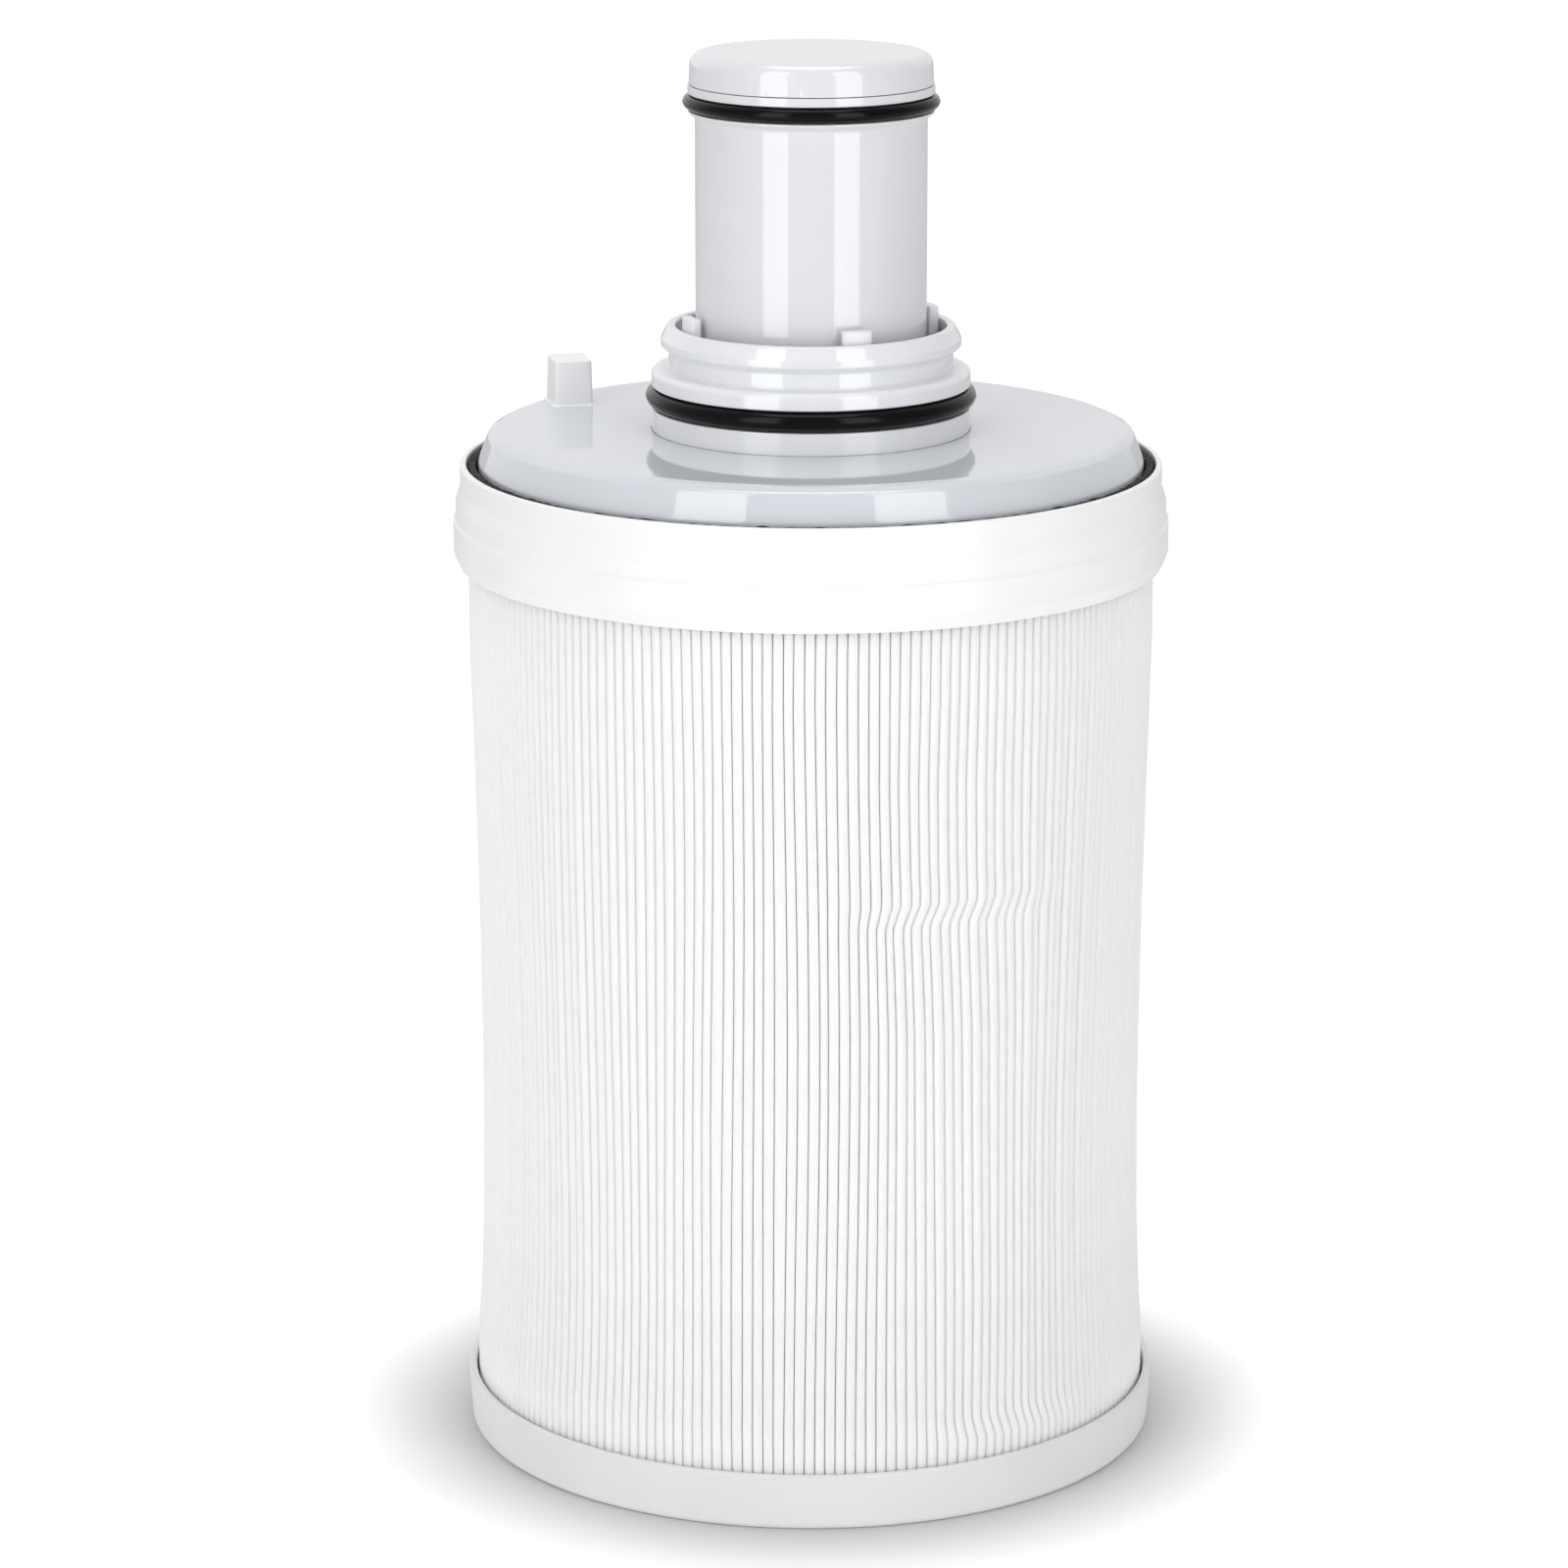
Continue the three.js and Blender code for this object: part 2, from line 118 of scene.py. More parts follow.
def area_light(name, at, look_at, size, power):
    """A rectangular softbox at a point, facing another point, hidden from the camera."""
    data = bpy.data.lights.new(name, "AREA")
    data.shape = "RECTANGLE"
    data.size, data.size_y = size
    data.energy = power
    lamp = bpy.data.objects.new(name, data)
    direction = Vector(look_at) - Vector(at)
    lamp.location = at
    lamp.rotation_euler = direction.to_track_quat("-Z", "Y").to_euler()
    lamp.visible_camera = False
    bpy.context.scene.collection.objects.link(lamp)
    return lamp


angle = math.radians(STRIP["angle"])
size = (STRIP["width"], STRIP["height"])
for side in (-1, 1):
    across, ahead = side * STRIP["distance"] * math.sin(angle), -STRIP["distance"] * math.cos(angle)
    at = (across, ahead, STRIP["height"] / 2)
    area_light("strip_" + ("left" if side < 0 else "right"), at, (0, 0, at[2]), size, STRIP["power"])
area_light("top_softbox", (0, 0.1, TOP["height"]), (0, 0, 0), (TOP["size"], TOP["size"]), TOP["power"])
print("two strips and a top softbox")

# %% Sweep and sky
SKY = 0.50
BACKDROP = 1.0
SHADE_SIDE = 0.70

floor_data = bpy.data.meshes.new("floor")
floor_data.from_pydata([(-8, -8, 0), (8, -8, 0), (8, 8, 0), (-8, 8, 0)], [], [(0, 1, 2, 3)])
floor = bpy.data.objects.new("floor", floor_data)
bpy.context.scene.collection.objects.link(floor)

world = bpy.data.worlds.new("studio")
bpy.context.scene.world = world
world.use_nodes = True
bpy.context.scene.view_settings.view_transform = "Standard"
print("sky strength", SKY)

# %% [markdown]
# ## Node helpers
# A finish is a graph of shader nodes. `place` adds one node and either sets or links its inputs, so that
# a material reads as a list of what feeds what.

# %% Place a node
def place(tree, kind, inputs=(), **properties):
    """Adds a shader node, sets its properties, and fills its inputs with values or with other sockets."""
    made = tree.nodes.new("ShaderNode" + kind)
    for key, value in properties.items():
        setattr(made, key, value)
    for key, value in dict(inputs).items():
        if isinstance(value, bpy.types.NodeSocket):
            tree.links.new(value, made.inputs[key])
        else:
            made.inputs[key].default_value = value
    return made


def group(name, inputs, outputs):
    """An empty node group. Inputs give each socket's name and default, and outputs give names; a socket
    with four numbers, or called Colour, is a colour, and any other is a plain value."""
    tree = bpy.data.node_groups.new(name, "ShaderNodeTree")
    for label, default in inputs.items():
        kind = "Color" if isinstance(default, tuple) else "Float"
        socket = tree.interface.new_socket(label, in_out="INPUT", socket_type="NodeSocket" + kind)
        socket.default_value = default
    for label in outputs:
        kind = "Color" if label == "Colour" else "Float"
        tree.interface.new_socket(label, in_out="OUTPUT", socket_type="NodeSocket" + kind)
    return tree, tree.nodes.new("NodeGroupInput").outputs, tree.nodes.new("NodeGroupOutput").inputs


def mix_colour(tree, factor, a, b, blend="MIX"):
    """Colour a where factor is 0 and colour b where it is 1."""
    node = place(tree, "Mix", data_type="RGBA", blend_type=blend)
    for socket, value in zip((node.inputs[0], node.inputs[6], node.inputs[7]), (factor, a, b)):
        if isinstance(value, bpy.types.NodeSocket):
            tree.links.new(value, socket)
        else:
            socket.default_value = value
    return node.outputs[2]


def maths(tree, operation, a, b=0.0, c=0.0):
    """One sum, product or other scalar operation."""
    return place(tree, "Math", {0: a, 1: b, 2: c}, operation=operation).outputs[0]


def times(tree, first, *others):
    """The product of two or more values."""
    for value in others:
        first = maths(tree, "MULTIPLY", first, value)
    return first


def ramp(tree, value, low_in, high_in, low_out=0.0, high_out=1.0):
    """Carries a value from one range to another and clamps it there."""
    return place(tree, "MapRange", {0: value, 1: low_in, 2: high_in, 3: low_out, 4: high_out}).outputs[0]


def object_coordinates(tree, scale=(1, 1, 1), turn=(0, 0, 0)):
    """Object coordinates, stretched and turned."""
    source = place(tree, "TexCoord").outputs["Object"]
    return place(tree, "Mapping", {"Vector": source, "Scale": scale, "Rotation": turn}).outputs[0]


def noise(tree, scale, detail=2.0, rough=0.5, stretch=(1, 1, 1), turn=(0, 0, 0)):
    """Cloudy noise over object coordinates, which may be stretched and turned first."""
    cloud = {"Scale": scale, "Detail": detail, "Roughness": rough}
    return place(tree, "TexNoise", {"Vector": object_coordinates(tree, stretch, turn), **cloud}).outputs[0]


def voronoi(tree, scale):
    """Distance to the nearest of many scattered points, over object coordinates."""
    return place(tree, "TexVoronoi", {"Vector": object_coordinates(tree), "Scale": scale}).outputs["Distance"]


def feed(tree, shader, colour, roughness=None):
    """Links a colour into the shader, and a roughness where there is one."""
    tree.links.new(colour, shader.inputs["Base Color"])
    if roughness is not None:
        tree.links.new(roughness, shader.inputs["Roughness"])


print("node helpers ready")

# %% [markdown]
# ## Sweep and sky finishes
# The sky is plain white where the camera sees it. Everything else is lit by a dimmer one that falls off
# to the right, so that round things have a light and a shaded side, and that is bright behind the object,
# where the sweep is lit: the polished lid mirrors that part of it. The floor has a tone and a glow for
# the camera alone: it goes pure white, as a lit sweep does, and is darker within a few centimetres of the
# foot. That darkening is a painted shadow, which deepens the real soft shadow there without changing how
# the floor lights the object.

# %% Sky nodes
def make_sky():
    """Strength goes from SKY in front to BACKDROP behind, times SHADE_SIDE on the right; a camera sees 1."""
    tree = world.node_tree
    background = tree.nodes["Background"]
    direction = place(tree, "SeparateXYZ", {0: place(tree, "TexCoord").outputs["Generated"]}).outputs
    side = ramp(tree, direction["X"], -0.6, 0.9, 1.0, SHADE_SIDE)
    strength = times(tree, ramp(tree, direction["Y"], 0.1, 0.7, SKY, BACKDROP), side)
    seen = place(tree, "LightPath").outputs["Is Camera Ray"]
    tree.links.new(maths(tree, "MAXIMUM", strength, seen), background.inputs["Strength"])
    background.inputs["Color"].default_value = (1, 1, 1, 1)


make_sky()

# %% Floor finish
GLOW_NEAR, GLOW_FAR = 0.0, 0.75
# Distances in metres over which the glow rises; nearer the foot the paper shows a painted shadow.
PAINTED_SHADOW_REACH = (0.064, 0.104)
PAPER, PAPER_SHADED = 0.92, 0.54


def make_floor_paper():
    """Matt white paper with a faint mottle. It lights the object with tone PAPER, but camera rays see it
    as PAPER_SHADED plus a glow that rises from GLOW_NEAR at the object's foot to GLOW_FAR further out,
    which paints a soft shadow round the foot."""
    material = bpy.data.materials.new("floor_paper")
    material.use_nodes = True
    tree = material.node_tree
    shader = tree.nodes["Principled BSDF"]
    mottle = noise(tree, 6.0, 5.0)
    seen = place(tree, "LightPath").outputs["Is Camera Ray"]
    tone = mix_colour(tree, seen, (PAPER,) * 3 + (1,), (PAPER_SHADED,) * 3 + (1,))
    flecks = ramp(tree, mottle, 0.3, 0.7, 0.98, 1.02)
    tint = place(tree, "VectorMath", {0: tone, 1: flecks}, operation="MULTIPLY").outputs[0]
    feed(tree, shader, tint)
    shader.inputs["Roughness"].default_value = 0.9
    shader.inputs["Specular IOR Level"].default_value = 0.1
    away = place(tree, "VectorMath", {0: object_coordinates(tree)}, operation="LENGTH").outputs["Value"]
    # Camera rays see less glow near the foot: this paints a soft shadow round it.
    glow = ramp(tree, away, *PAINTED_SHADOW_REACH, GLOW_NEAR, GLOW_FAR)
    tree.links.new(times(tree, glow, seen), shader.inputs["Emission Color"])
    shader.inputs["Emission Strength"].default_value = 1.0
    return material


floor.data.materials.append(make_floor_paper())
print("floor and sky lit")

# %% [markdown]
# ## Effects that several finishes share
# Injection-moulded plastic is never one flat colour: its tone drifts slowly with the flow of the melt, a
# fine grain breaks the gloss, and hairline rub marks run round it where it slides in its housing. One
# group makes these for every plastic piece, and each material gives it its own strengths.

# %% Moulded skin
HAZE, SCRATCH_DEPTH = 0.03, -2.0


def make_moulded_skin():
    """Slow tone drift (noise of about 30 mm), grain (noise of about 0.5 mm) and rub marks (noise
    stretched round the axis, so it is thin along Z), combined into a colour, a roughness and a height."""
    tree, given, out = group(
        "moulded_skin",
        {"Colour": (0.8, 0.8, 0.8, 1), "Tone": 0.04, "Roughness": 0.2, "Marks": 0.05, "Grain": 0.3},
        ("Colour", "Roughness", "Height"),
    )
    flow = noise(tree, 34.0, 4.0)
    grain = noise(tree, 2100.0, 3.0)
    lines = ramp(tree, noise(tree, 1.0, 5.0, 0.7, (60, 60, 2600)), 0.58, 0.72)
    patches = noise(tree, 90.0)
    worn = times(tree, lines, ramp(tree, patches, 0.5, 0.65))
    drift = times(tree, ramp(tree, flow, 0.35, 0.65, -1.0, 1.0), given["Tone"])
    shade = maths(tree, "ADD", 1.0, drift)
    shaded = place(tree, "VectorMath", {0: given["Colour"], 1: shade}, operation="MULTIPLY").outputs[0]
    rough = maths(tree, "MULTIPLY_ADD", worn, given["Marks"], given["Roughness"])
    haze = maths(tree, "MULTIPLY_ADD", ramp(tree, flow, 0.3, 0.7), HAZE, rough)
    height = times(tree, grain, given["Grain"])
    tree.links.new(shaded, out["Colour"])
    tree.links.new(haze, out["Roughness"])
    scratch = times(tree, given["Marks"], SCRATCH_DEPTH)
    tree.links.new(maths(tree, "MULTIPLY_ADD", worn, scratch, height), out["Height"])
    return tree


moulded_skin = make_moulded_skin()

# %% [markdown]
# Rims and lips are touched most, so they lose their gloss first and pick up a trace of grey. Each surface
# made below carries a `rub` value, 1 on its outer corners and 0 on its flats, and this group reads it.

# %% Rubbed edges
def make_rubbed_edges():
    """The rub value, broken up by noise, blends towards an edge colour and adds roughness."""
    tree, given, out = group(
        "rubbed_edges",
        {"Colour": (0.8, 0.8, 0.8, 1), "Edge": (0.7, 0.7, 0.7, 1), "Amount": 0.3, "Roughness": 0.2},
        ("Colour", "Roughness"),
    )
    rub = place(tree, "Attribute", attribute_name="rub").outputs["Fac"]
    spots = noise(tree, 260.0, 5.0)
    worn = times(tree, rub, ramp(tree, spots, 0.42, 0.62), given["Amount"])
    tree.links.new(mix_colour(tree, worn, given["Colour"], given["Edge"]), out["Colour"])
    tree.links.new(maths(tree, "MULTIPLY_ADD", worn, 0.35, given["Roughness"]), out["Roughness"])
    return tree


rubbed_edges = make_rubbed_edges()

# %% [markdown]
# A little dust settles on everything that faces up. It is nearly invisible on white plastic, but it dulls
# black rubber, where it collects in patches.

# %% Settled dust
def make_settled_dust():
    """Dust where the surface normal points up, broken up by two sizes of noise."""
    tree, given, out = group(
        "settled_dust",
        {"Colour": (0.8, 0.8, 0.8, 1), "Dust": (0.6, 0.59, 0.57, 1), "Amount": 0.1, "Roughness": 0.2},
        ("Colour", "Roughness"),
    )
    normal = place(tree, "NewGeometry").outputs["Normal"]
    up = place(tree, "SeparateXYZ", {0: normal}).outputs["Z"]
    cloud = noise(tree, 120.0, 6.0)
    specks = voronoi(tree, 900.0)
    patchy = times(tree, ramp(tree, cloud, 0.4, 0.7), ramp(tree, specks, 0.35, 0.05))
    lies = times(tree, ramp(tree, up, 0.1, 0.9), patchy, given["Amount"])
    tree.links.new(mix_colour(tree, lies, given["Colour"], given["Dust"]), out["Colour"])
    tree.links.new(maths(tree, "MULTIPLY_ADD", lies, 0.5, given["Roughness"]), out["Roughness"])
    return tree


settled_dust = make_settled_dust()

# %% [markdown]
# Non-woven filter cloth is a mat of fine fibres pressed flat. Three sets of stretched noise, turned
# against each other, look like fibres crossing at all angles. The pattern follows the piece's own UV map,
# which is laid out in millimetres of cloth, so it stays with the folds.

# %% Fibre mat
def make_fibre_mat():
    """Three turned and stretched noises; the brightest of them is the fibre on top."""
    tree, given, out = group(
        "fibre_mat",
        {"Colour": (0.9, 0.9, 0.9, 1), "Fibre": (1, 1, 1, 1), "Amount": 0.4},
        ("Colour", "Height"),
    )
    cloth = place(tree, "UVMap", uv_map="cloth").outputs[0]
    top = None
    for turn in (0.2, 1.3, 2.5):
        way = place(tree, "Mapping", {"Vector": cloth, "Rotation": (0, 0, turn), "Scale": (1.1, 9.0, 1.0)})
        lie = {"Vector": way.outputs[0], "Scale": 1.6, "Detail": 3.0, "Roughness": 0.6}
        threads = place(tree, "TexNoise", lie).outputs[0]
        top = threads if top is None else maths(tree, "MAXIMUM", top, threads)
    fibre = ramp(tree, top, 0.5, 0.75)
    shown = times(tree, fibre, given["Amount"])
    tree.links.new(mix_colour(tree, shown, given["Colour"], given["Fibre"]), out["Colour"])
    tree.links.new(fibre, out["Height"])
    return tree


fibre_mat = make_fibre_mat()
print("shared effects:", [g.name for g in bpy.data.node_groups])

# %% [markdown]
# ## Finishes
# A finish chains the shared effects into the Principled shader's sockets. Values that don't change over
# the surface are set on the sockets themselves.

# %% Start a material
def new_material(name, viewport=(0.8, 0.8, 0.8, 1), **sockets):
    """A material with one Principled shader whose constant sockets are set by name."""
    material = bpy.data.materials.new(name)
    material.use_nodes = True
    material.diffuse_color = viewport
    tree = material.node_tree
    shader = tree.nodes["Principled BSDF"]
    for key, value in sockets.items():
        shader.inputs[key.replace("_", " ")].default_value = value
    return material, tree, shader


def bump(tree, shader, height, distance, strength=1.0):
    """Turns a height into the shader's normal; distance is in metres."""
    made = place(tree, "Bump", {"Height": height, "Distance": distance, "Strength": strength})
    tree.links.new(made.outputs[0], shader.inputs["Normal"])


def finish_of(node):
    """The colour and roughness that an effect gives, ready to go into the next one."""
    return {key: node.outputs[key] for key in ("Colour", "Roughness")}


EDGE_SHADE = 0.93
PLASTIC_BUMP_MM, RUBBER_BUMP_MM = 0.004, 0.006


def plastic(name, colour, roughness, tone=0.02, marks=0.05, grain=0.3, dust=0.05, **sockets):
    """Moulded plastic: skin, then rubbed edges, then dust, in that order, as they come about."""
    material, tree, shader = new_material(name, colour, **sockets)
    look = {"Colour": colour, "Tone": tone, "Roughness": roughness, "Marks": marks, "Grain": grain}
    skin = place(tree, "Group", look, node_tree=moulded_skin)
    edge = tuple(EDGE_SHADE * v for v in colour[:3]) + (1,)
    rub = place(tree, "Group", {**finish_of(skin), "Edge": edge}, node_tree=rubbed_edges)
    settled = place(tree, "Group", {**finish_of(rub), "Amount": dust}, node_tree=settled_dust)
    feed(tree, shader, *finish_of(settled).values())
    bump(tree, shader, skin.outputs["Height"], PLASTIC_BUMP_MM * MM)
    return material


STEM_WHITE = (0.725, 0.730, 0.757, 1)
COLLAR_WHITE = (0.79, 0.80, 0.83, 1)
LID_GREY = (0.62, 0.64, 0.68, 1)
RING_WHITE = (0.875, 0.875, 0.875, 1)
CAP_WHITE = (0.74, 0.74, 0.743, 1)

stem_plastic = plastic("stem_plastic", STEM_WHITE, 0.06, marks=0.04, grain=0.12, IOR=1.68)
collar_plastic = plastic("collar_plastic", COLLAR_WHITE, 0.045, marks=0.06, grain=0.12, IOR=1.7)
lid_plastic = plastic("lid_plastic", LID_GREY, 0.03, tone=0.012, marks=0.02, grain=0.06, dust=0.08, IOR=1.7)
lug_plastic = plastic("lug_plastic", (0.88, 0.885, 0.90, 1), 0.12, tone=0.03, grain=0.2, dust=0.1, IOR=1.5)
ring_plastic = plastic("ring_plastic", RING_WHITE, 0.30, marks=0.03, grain=0.3, IOR=1.48)
cap_plastic = plastic("cap_plastic", CAP_WHITE, 0.32, marks=0.08, grain=0.6, IOR=1.48)
lock_plastic = plastic("lock_plastic", (0.80, 0.81, 0.83, 1), 0.2, grain=0.4)
inner_plastic = plastic("inner_plastic", (0.74, 0.75, 0.76, 1), 0.4, tone=0.05, grain=0.8)
print("plastics:", len([m for m in bpy.data.materials if "plastic" in m.name]))

# %% [markdown]
# Rubber O-rings are black, smooth from the mould and lightly greased. They show the softboxes as faint
# grey bands, with patches of bloom where the grease has dried.

# %% Rubber
def rubber(name, colour, roughness, dust):
    """Black rubber: the moulded skin's grain is coarser, and dust shows."""
    material, tree, shader = new_material(name, colour, IOR=1.24)
    look = {"Colour": colour, "Tone": 0.3, "Roughness": roughness, "Marks": 0.12, "Grain": 1.0}
    skin = place(tree, "Group", look, node_tree=moulded_skin)
    bloom = {"Dust": (0.16, 0.16, 0.165, 1), "Amount": dust}
    settled = place(tree, "Group", {**finish_of(skin), **bloom}, node_tree=settled_dust)
    feed(tree, shader, *finish_of(settled).values())
    bump(tree, shader, skin.outputs["Height"], RUBBER_BUMP_MM * MM)
    return material


black_rubber = rubber("black_rubber", (0.003, 0.003, 0.0032, 1), 0.13, 0.04)
print("rubber ready")

# %% [markdown]
# The dark ring in the gap under the lid is a crinkled band of black mesh and foam. It is nearly lost in
# shadow, and only its ridges catch the light, helped by a painted highlight: its colour is lighter on the
# ridges and darker in the hollows, which is painted shade.

# %% Crinkled seal band
def make_seal_band():
    """Near-black foam: Voronoi cells give the crinkles, fine noise the mesh."""
    material, tree, shader = new_material("seal_band", (0.02, 0.02, 0.02, 1))
    crinkle = voronoi(tree, 420.0)
    mesh_grain = noise(tree, 1500.0, 4.0)
    height = maths(tree, "MULTIPLY_ADD", mesh_grain, 0.4, crinkle)
    # The colour follows the crinkles' height: painted highlight on the ridges, painted shade in the hollows.
    tone = mix_colour(tree, ramp(tree, height, 0.2, 1.0), (0.002, 0.002, 0.002, 1), (0.035, 0.035, 0.037, 1))
    feed(tree, shader, tone, ramp(tree, height, 0.2, 1.0, 0.4, 0.8))
    shader.inputs["Specular IOR Level"].default_value = 0.15
    bump(tree, shader, height, 0.5 * MM)
    return material


seal_band = make_seal_band()

# %% [markdown]
# The pleats are non-woven polyester. Light passes into it, so its folds are never really dark: a little
# subsurface scattering does the same here. In the valleys the cloth's colour is a touch greyer than on the
# crests, which keep the `rub` value: a painted shade in the folds.

# %% Pleated cloth
def make_media_cloth():
    """Fibre mat over a rub-value tint with painted shade in the valleys; broad noise gives uneven packing."""
    material, tree, shader = new_material("media_cloth", (0.93, 0.93, 0.92, 1), Roughness=0.85,
                                          Subsurface_Weight=0.5, Subsurface_Scale=0.0016)
    shader.inputs["Subsurface Radius"].default_value = (1.0, 1.0, 1.0)
    rub = place(tree, "Attribute", attribute_name="rub").outputs["Fac"]
    broad = noise(tree, 22.0, 3.0)
    # Less rub towards the valleys mixes in the greyer tint: painted shade in the folds.
    crest = maths(tree, "MULTIPLY", rub, ramp(tree, broad, 0.2, 0.5, 0.9, 1.0))
    tint = mix_colour(tree, crest, (0.97, 0.97, 0.97, 1), (0.985, 0.985, 0.984, 1))
    mat = place(tree, "Group", {"Colour": tint, "Fibre": (1, 1, 1, 1), "Amount": 0.35}, node_tree=fibre_mat)
    feed(tree, shader, mat.outputs["Colour"])
    bump(tree, shader, mat.outputs["Height"], 0.05 * MM, 0.6)
    shader.inputs["Specular IOR Level"].default_value = 0.2
    return material


media_cloth = make_media_cloth()
print("cloth ready")

# %% [markdown]
# Inside, pressed carbon is a bed of fine dark grains, quartz is clear with a faint cool tint, and the
# coil is wound copper wire. These show when the stem is pulled out or the cartridge is opened.

# %% Carbon, quartz, copper and board
def make_carbon():
    """Voronoi grains of about 0.7 mm, each with its own darkness, and pits between them."""
    material, tree, shader = new_material("pressed_carbon", (0.03, 0.03, 0.03, 1))
    cells = place(tree, "TexVoronoi", {"Vector": object_coordinates(tree), "Scale": 1400.0})
    grey = place(tree, "SeparateColor", {0: cells.outputs["Color"]}).outputs[0]
    tone = mix_colour(tree, grey, (0.008, 0.008, 0.009, 1), (0.05, 0.05, 0.052, 1))
    feed(tree, shader, tone, ramp(tree, grey, 0.0, 1.0, 0.55, 0.95))
    bump(tree, shader, cells.outputs["Distance"], 0.15 * MM)
    return material


def make_quartz(name, tint, roughness):
    """Clear glass whose tint drifts a little along its length, as drawn tube does."""
    material, tree, shader = new_material(name, tint[:3] + (0.3,), IOR=1.46, Transmission_Weight=1.0)
    draw = noise(tree, 1.0, stretch=(8, 8, 60))
    clear = tuple(0.5 + 0.5 * v for v in tint[:3]) + (1,)
    haze = ramp(tree, draw, 0.3, 0.7, roughness, roughness + HAZE)
    feed(tree, shader, mix_colour(tree, draw, tint, clear), haze)
    return material


def make_copper():
    """Wound wire: a wave along Z of one turn every 0.35 mm, with lacquer that varies round the coil."""
    material, tree, shader = new_material("wound_copper", (0.7, 0.4, 0.2, 1), Metallic=1.0, Coat_Weight=0.5)
    winding = {"Vector": object_coordinates(tree), "Scale": 900.0, "Distortion": 0.3}
    turns = place(tree, "TexWave", winding, bands_direction="Z").outputs[1]
    lacquer = noise(tree, 160.0)
    tone = mix_colour(tree, lacquer, (0.72, 0.34, 0.16, 1), (0.55, 0.24, 0.10, 1))
    feed(tree, shader, tone, ramp(tree, lacquer, 0.3, 0.7, 0.22, 0.4))
    bump(tree, shader, turns, 0.1 * MM)
    return material


def make_board():
    """Green solder mask with lighter copper tracks seen through it: the joints of a brick pattern."""
    material, tree, shader = new_material("solder_mask", (0.1, 0.3, 0.16, 1), Coat_Weight=0.3)
    bricks = {"Vector": object_coordinates(tree), "Scale": 260.0, "Mortar Size": 0.03}
    tracks = place(tree, "TexBrick", bricks).outputs["Fac"]
    tone = mix_colour(tree, tracks, (0.02, 0.13, 0.05, 1), (0.05, 0.26, 0.10, 1))
    feed(tree, shader, tone, ramp(tree, tracks, 0, 1, 0.35, 0.25))
    bump(tree, shader, tracks, 0.03 * MM)
    return material


def make_felt(name, colour, dark):
    """Blown fibre felt: stretched noise for the lie of the fibres over a cloudy tone."""
    material, tree, shader = new_material(name, colour, Roughness=0.9)
    fibres = noise(tree, 1.0, 6.0, stretch=(900, 900, 2600), turn=(0.3, 0.2, 0.0))
    both = maths(tree, "MULTIPLY_ADD", noise(tree, 60.0), 0.4, times(tree, fibres, 0.6))
    feed(tree, shader, mix_colour(tree, ramp(tree, both, 0.3, 0.7), dark, colour))
    bump(tree, shader, fibres, 0.12 * MM)
    return material


def make_resin(name, colour, speck):
    """Potting resin or wrapped film: glossy, with fine specks of filler and slow waves where it set."""
    material, tree, shader = new_material(name, colour, Coat_Weight=0.4)
    specks = voronoi(tree, 3000.0)
    waves = noise(tree, 240.0, 2.0)
    tone = mix_colour(tree, ramp(tree, specks, 0.4, 0.1), colour, speck)
    feed(tree, shader, tone, ramp(tree, waves, 0.3, 0.7, 0.2, 0.35))
    bump(tree, shader, waves, 0.2 * MM)
    return material


pressed_carbon = make_carbon()
clear_quartz = make_quartz("clear_quartz", (0.90, 0.96, 0.98, 1), 0.0)
lamp_glass = make_quartz("lamp_glass", (0.86, 0.93, 0.97, 1), 0.02)
wound_copper = make_copper()
solder_mask = make_board()
felt_wrap = make_felt("felt_wrap", (0.82, 0.82, 0.80, 1), (0.62, 0.62, 0.60, 1))
capacitor_film = make_resin("capacitor_film", (0.42, 0.10, 0.04, 1), (0.60, 0.22, 0.10, 1))
chip_resin = make_resin("chip_resin", (0.02, 0.02, 0.022, 1), (0.09, 0.09, 0.09, 1))
white_ceramic = plastic("white_ceramic", (0.86, 0.83, 0.76, 1), 0.45, tone=0.05, grain=1.4)
print("materials:", len(bpy.data.materials))

# %% [markdown]
# ## Turning a profile into a surface
# Nearly every piece here is a body of revolution, as moulded caps, rings and tubes are. A profile is a
# list of corners, each with the radius of its fillet. Sharp corners don't exist on a moulding, and it is
# the fillets that catch the softboxes as thin bright lines, so they are real geometry.

# %% Fillet a profile
ARC_POINTS = 7
SUPPORT_MM = 0.25
SIDE_SHARE = 0.48         # how much of a side one fillet may take
SHARP_MM, TOUCHING_MM = 1e-6, 1e-4


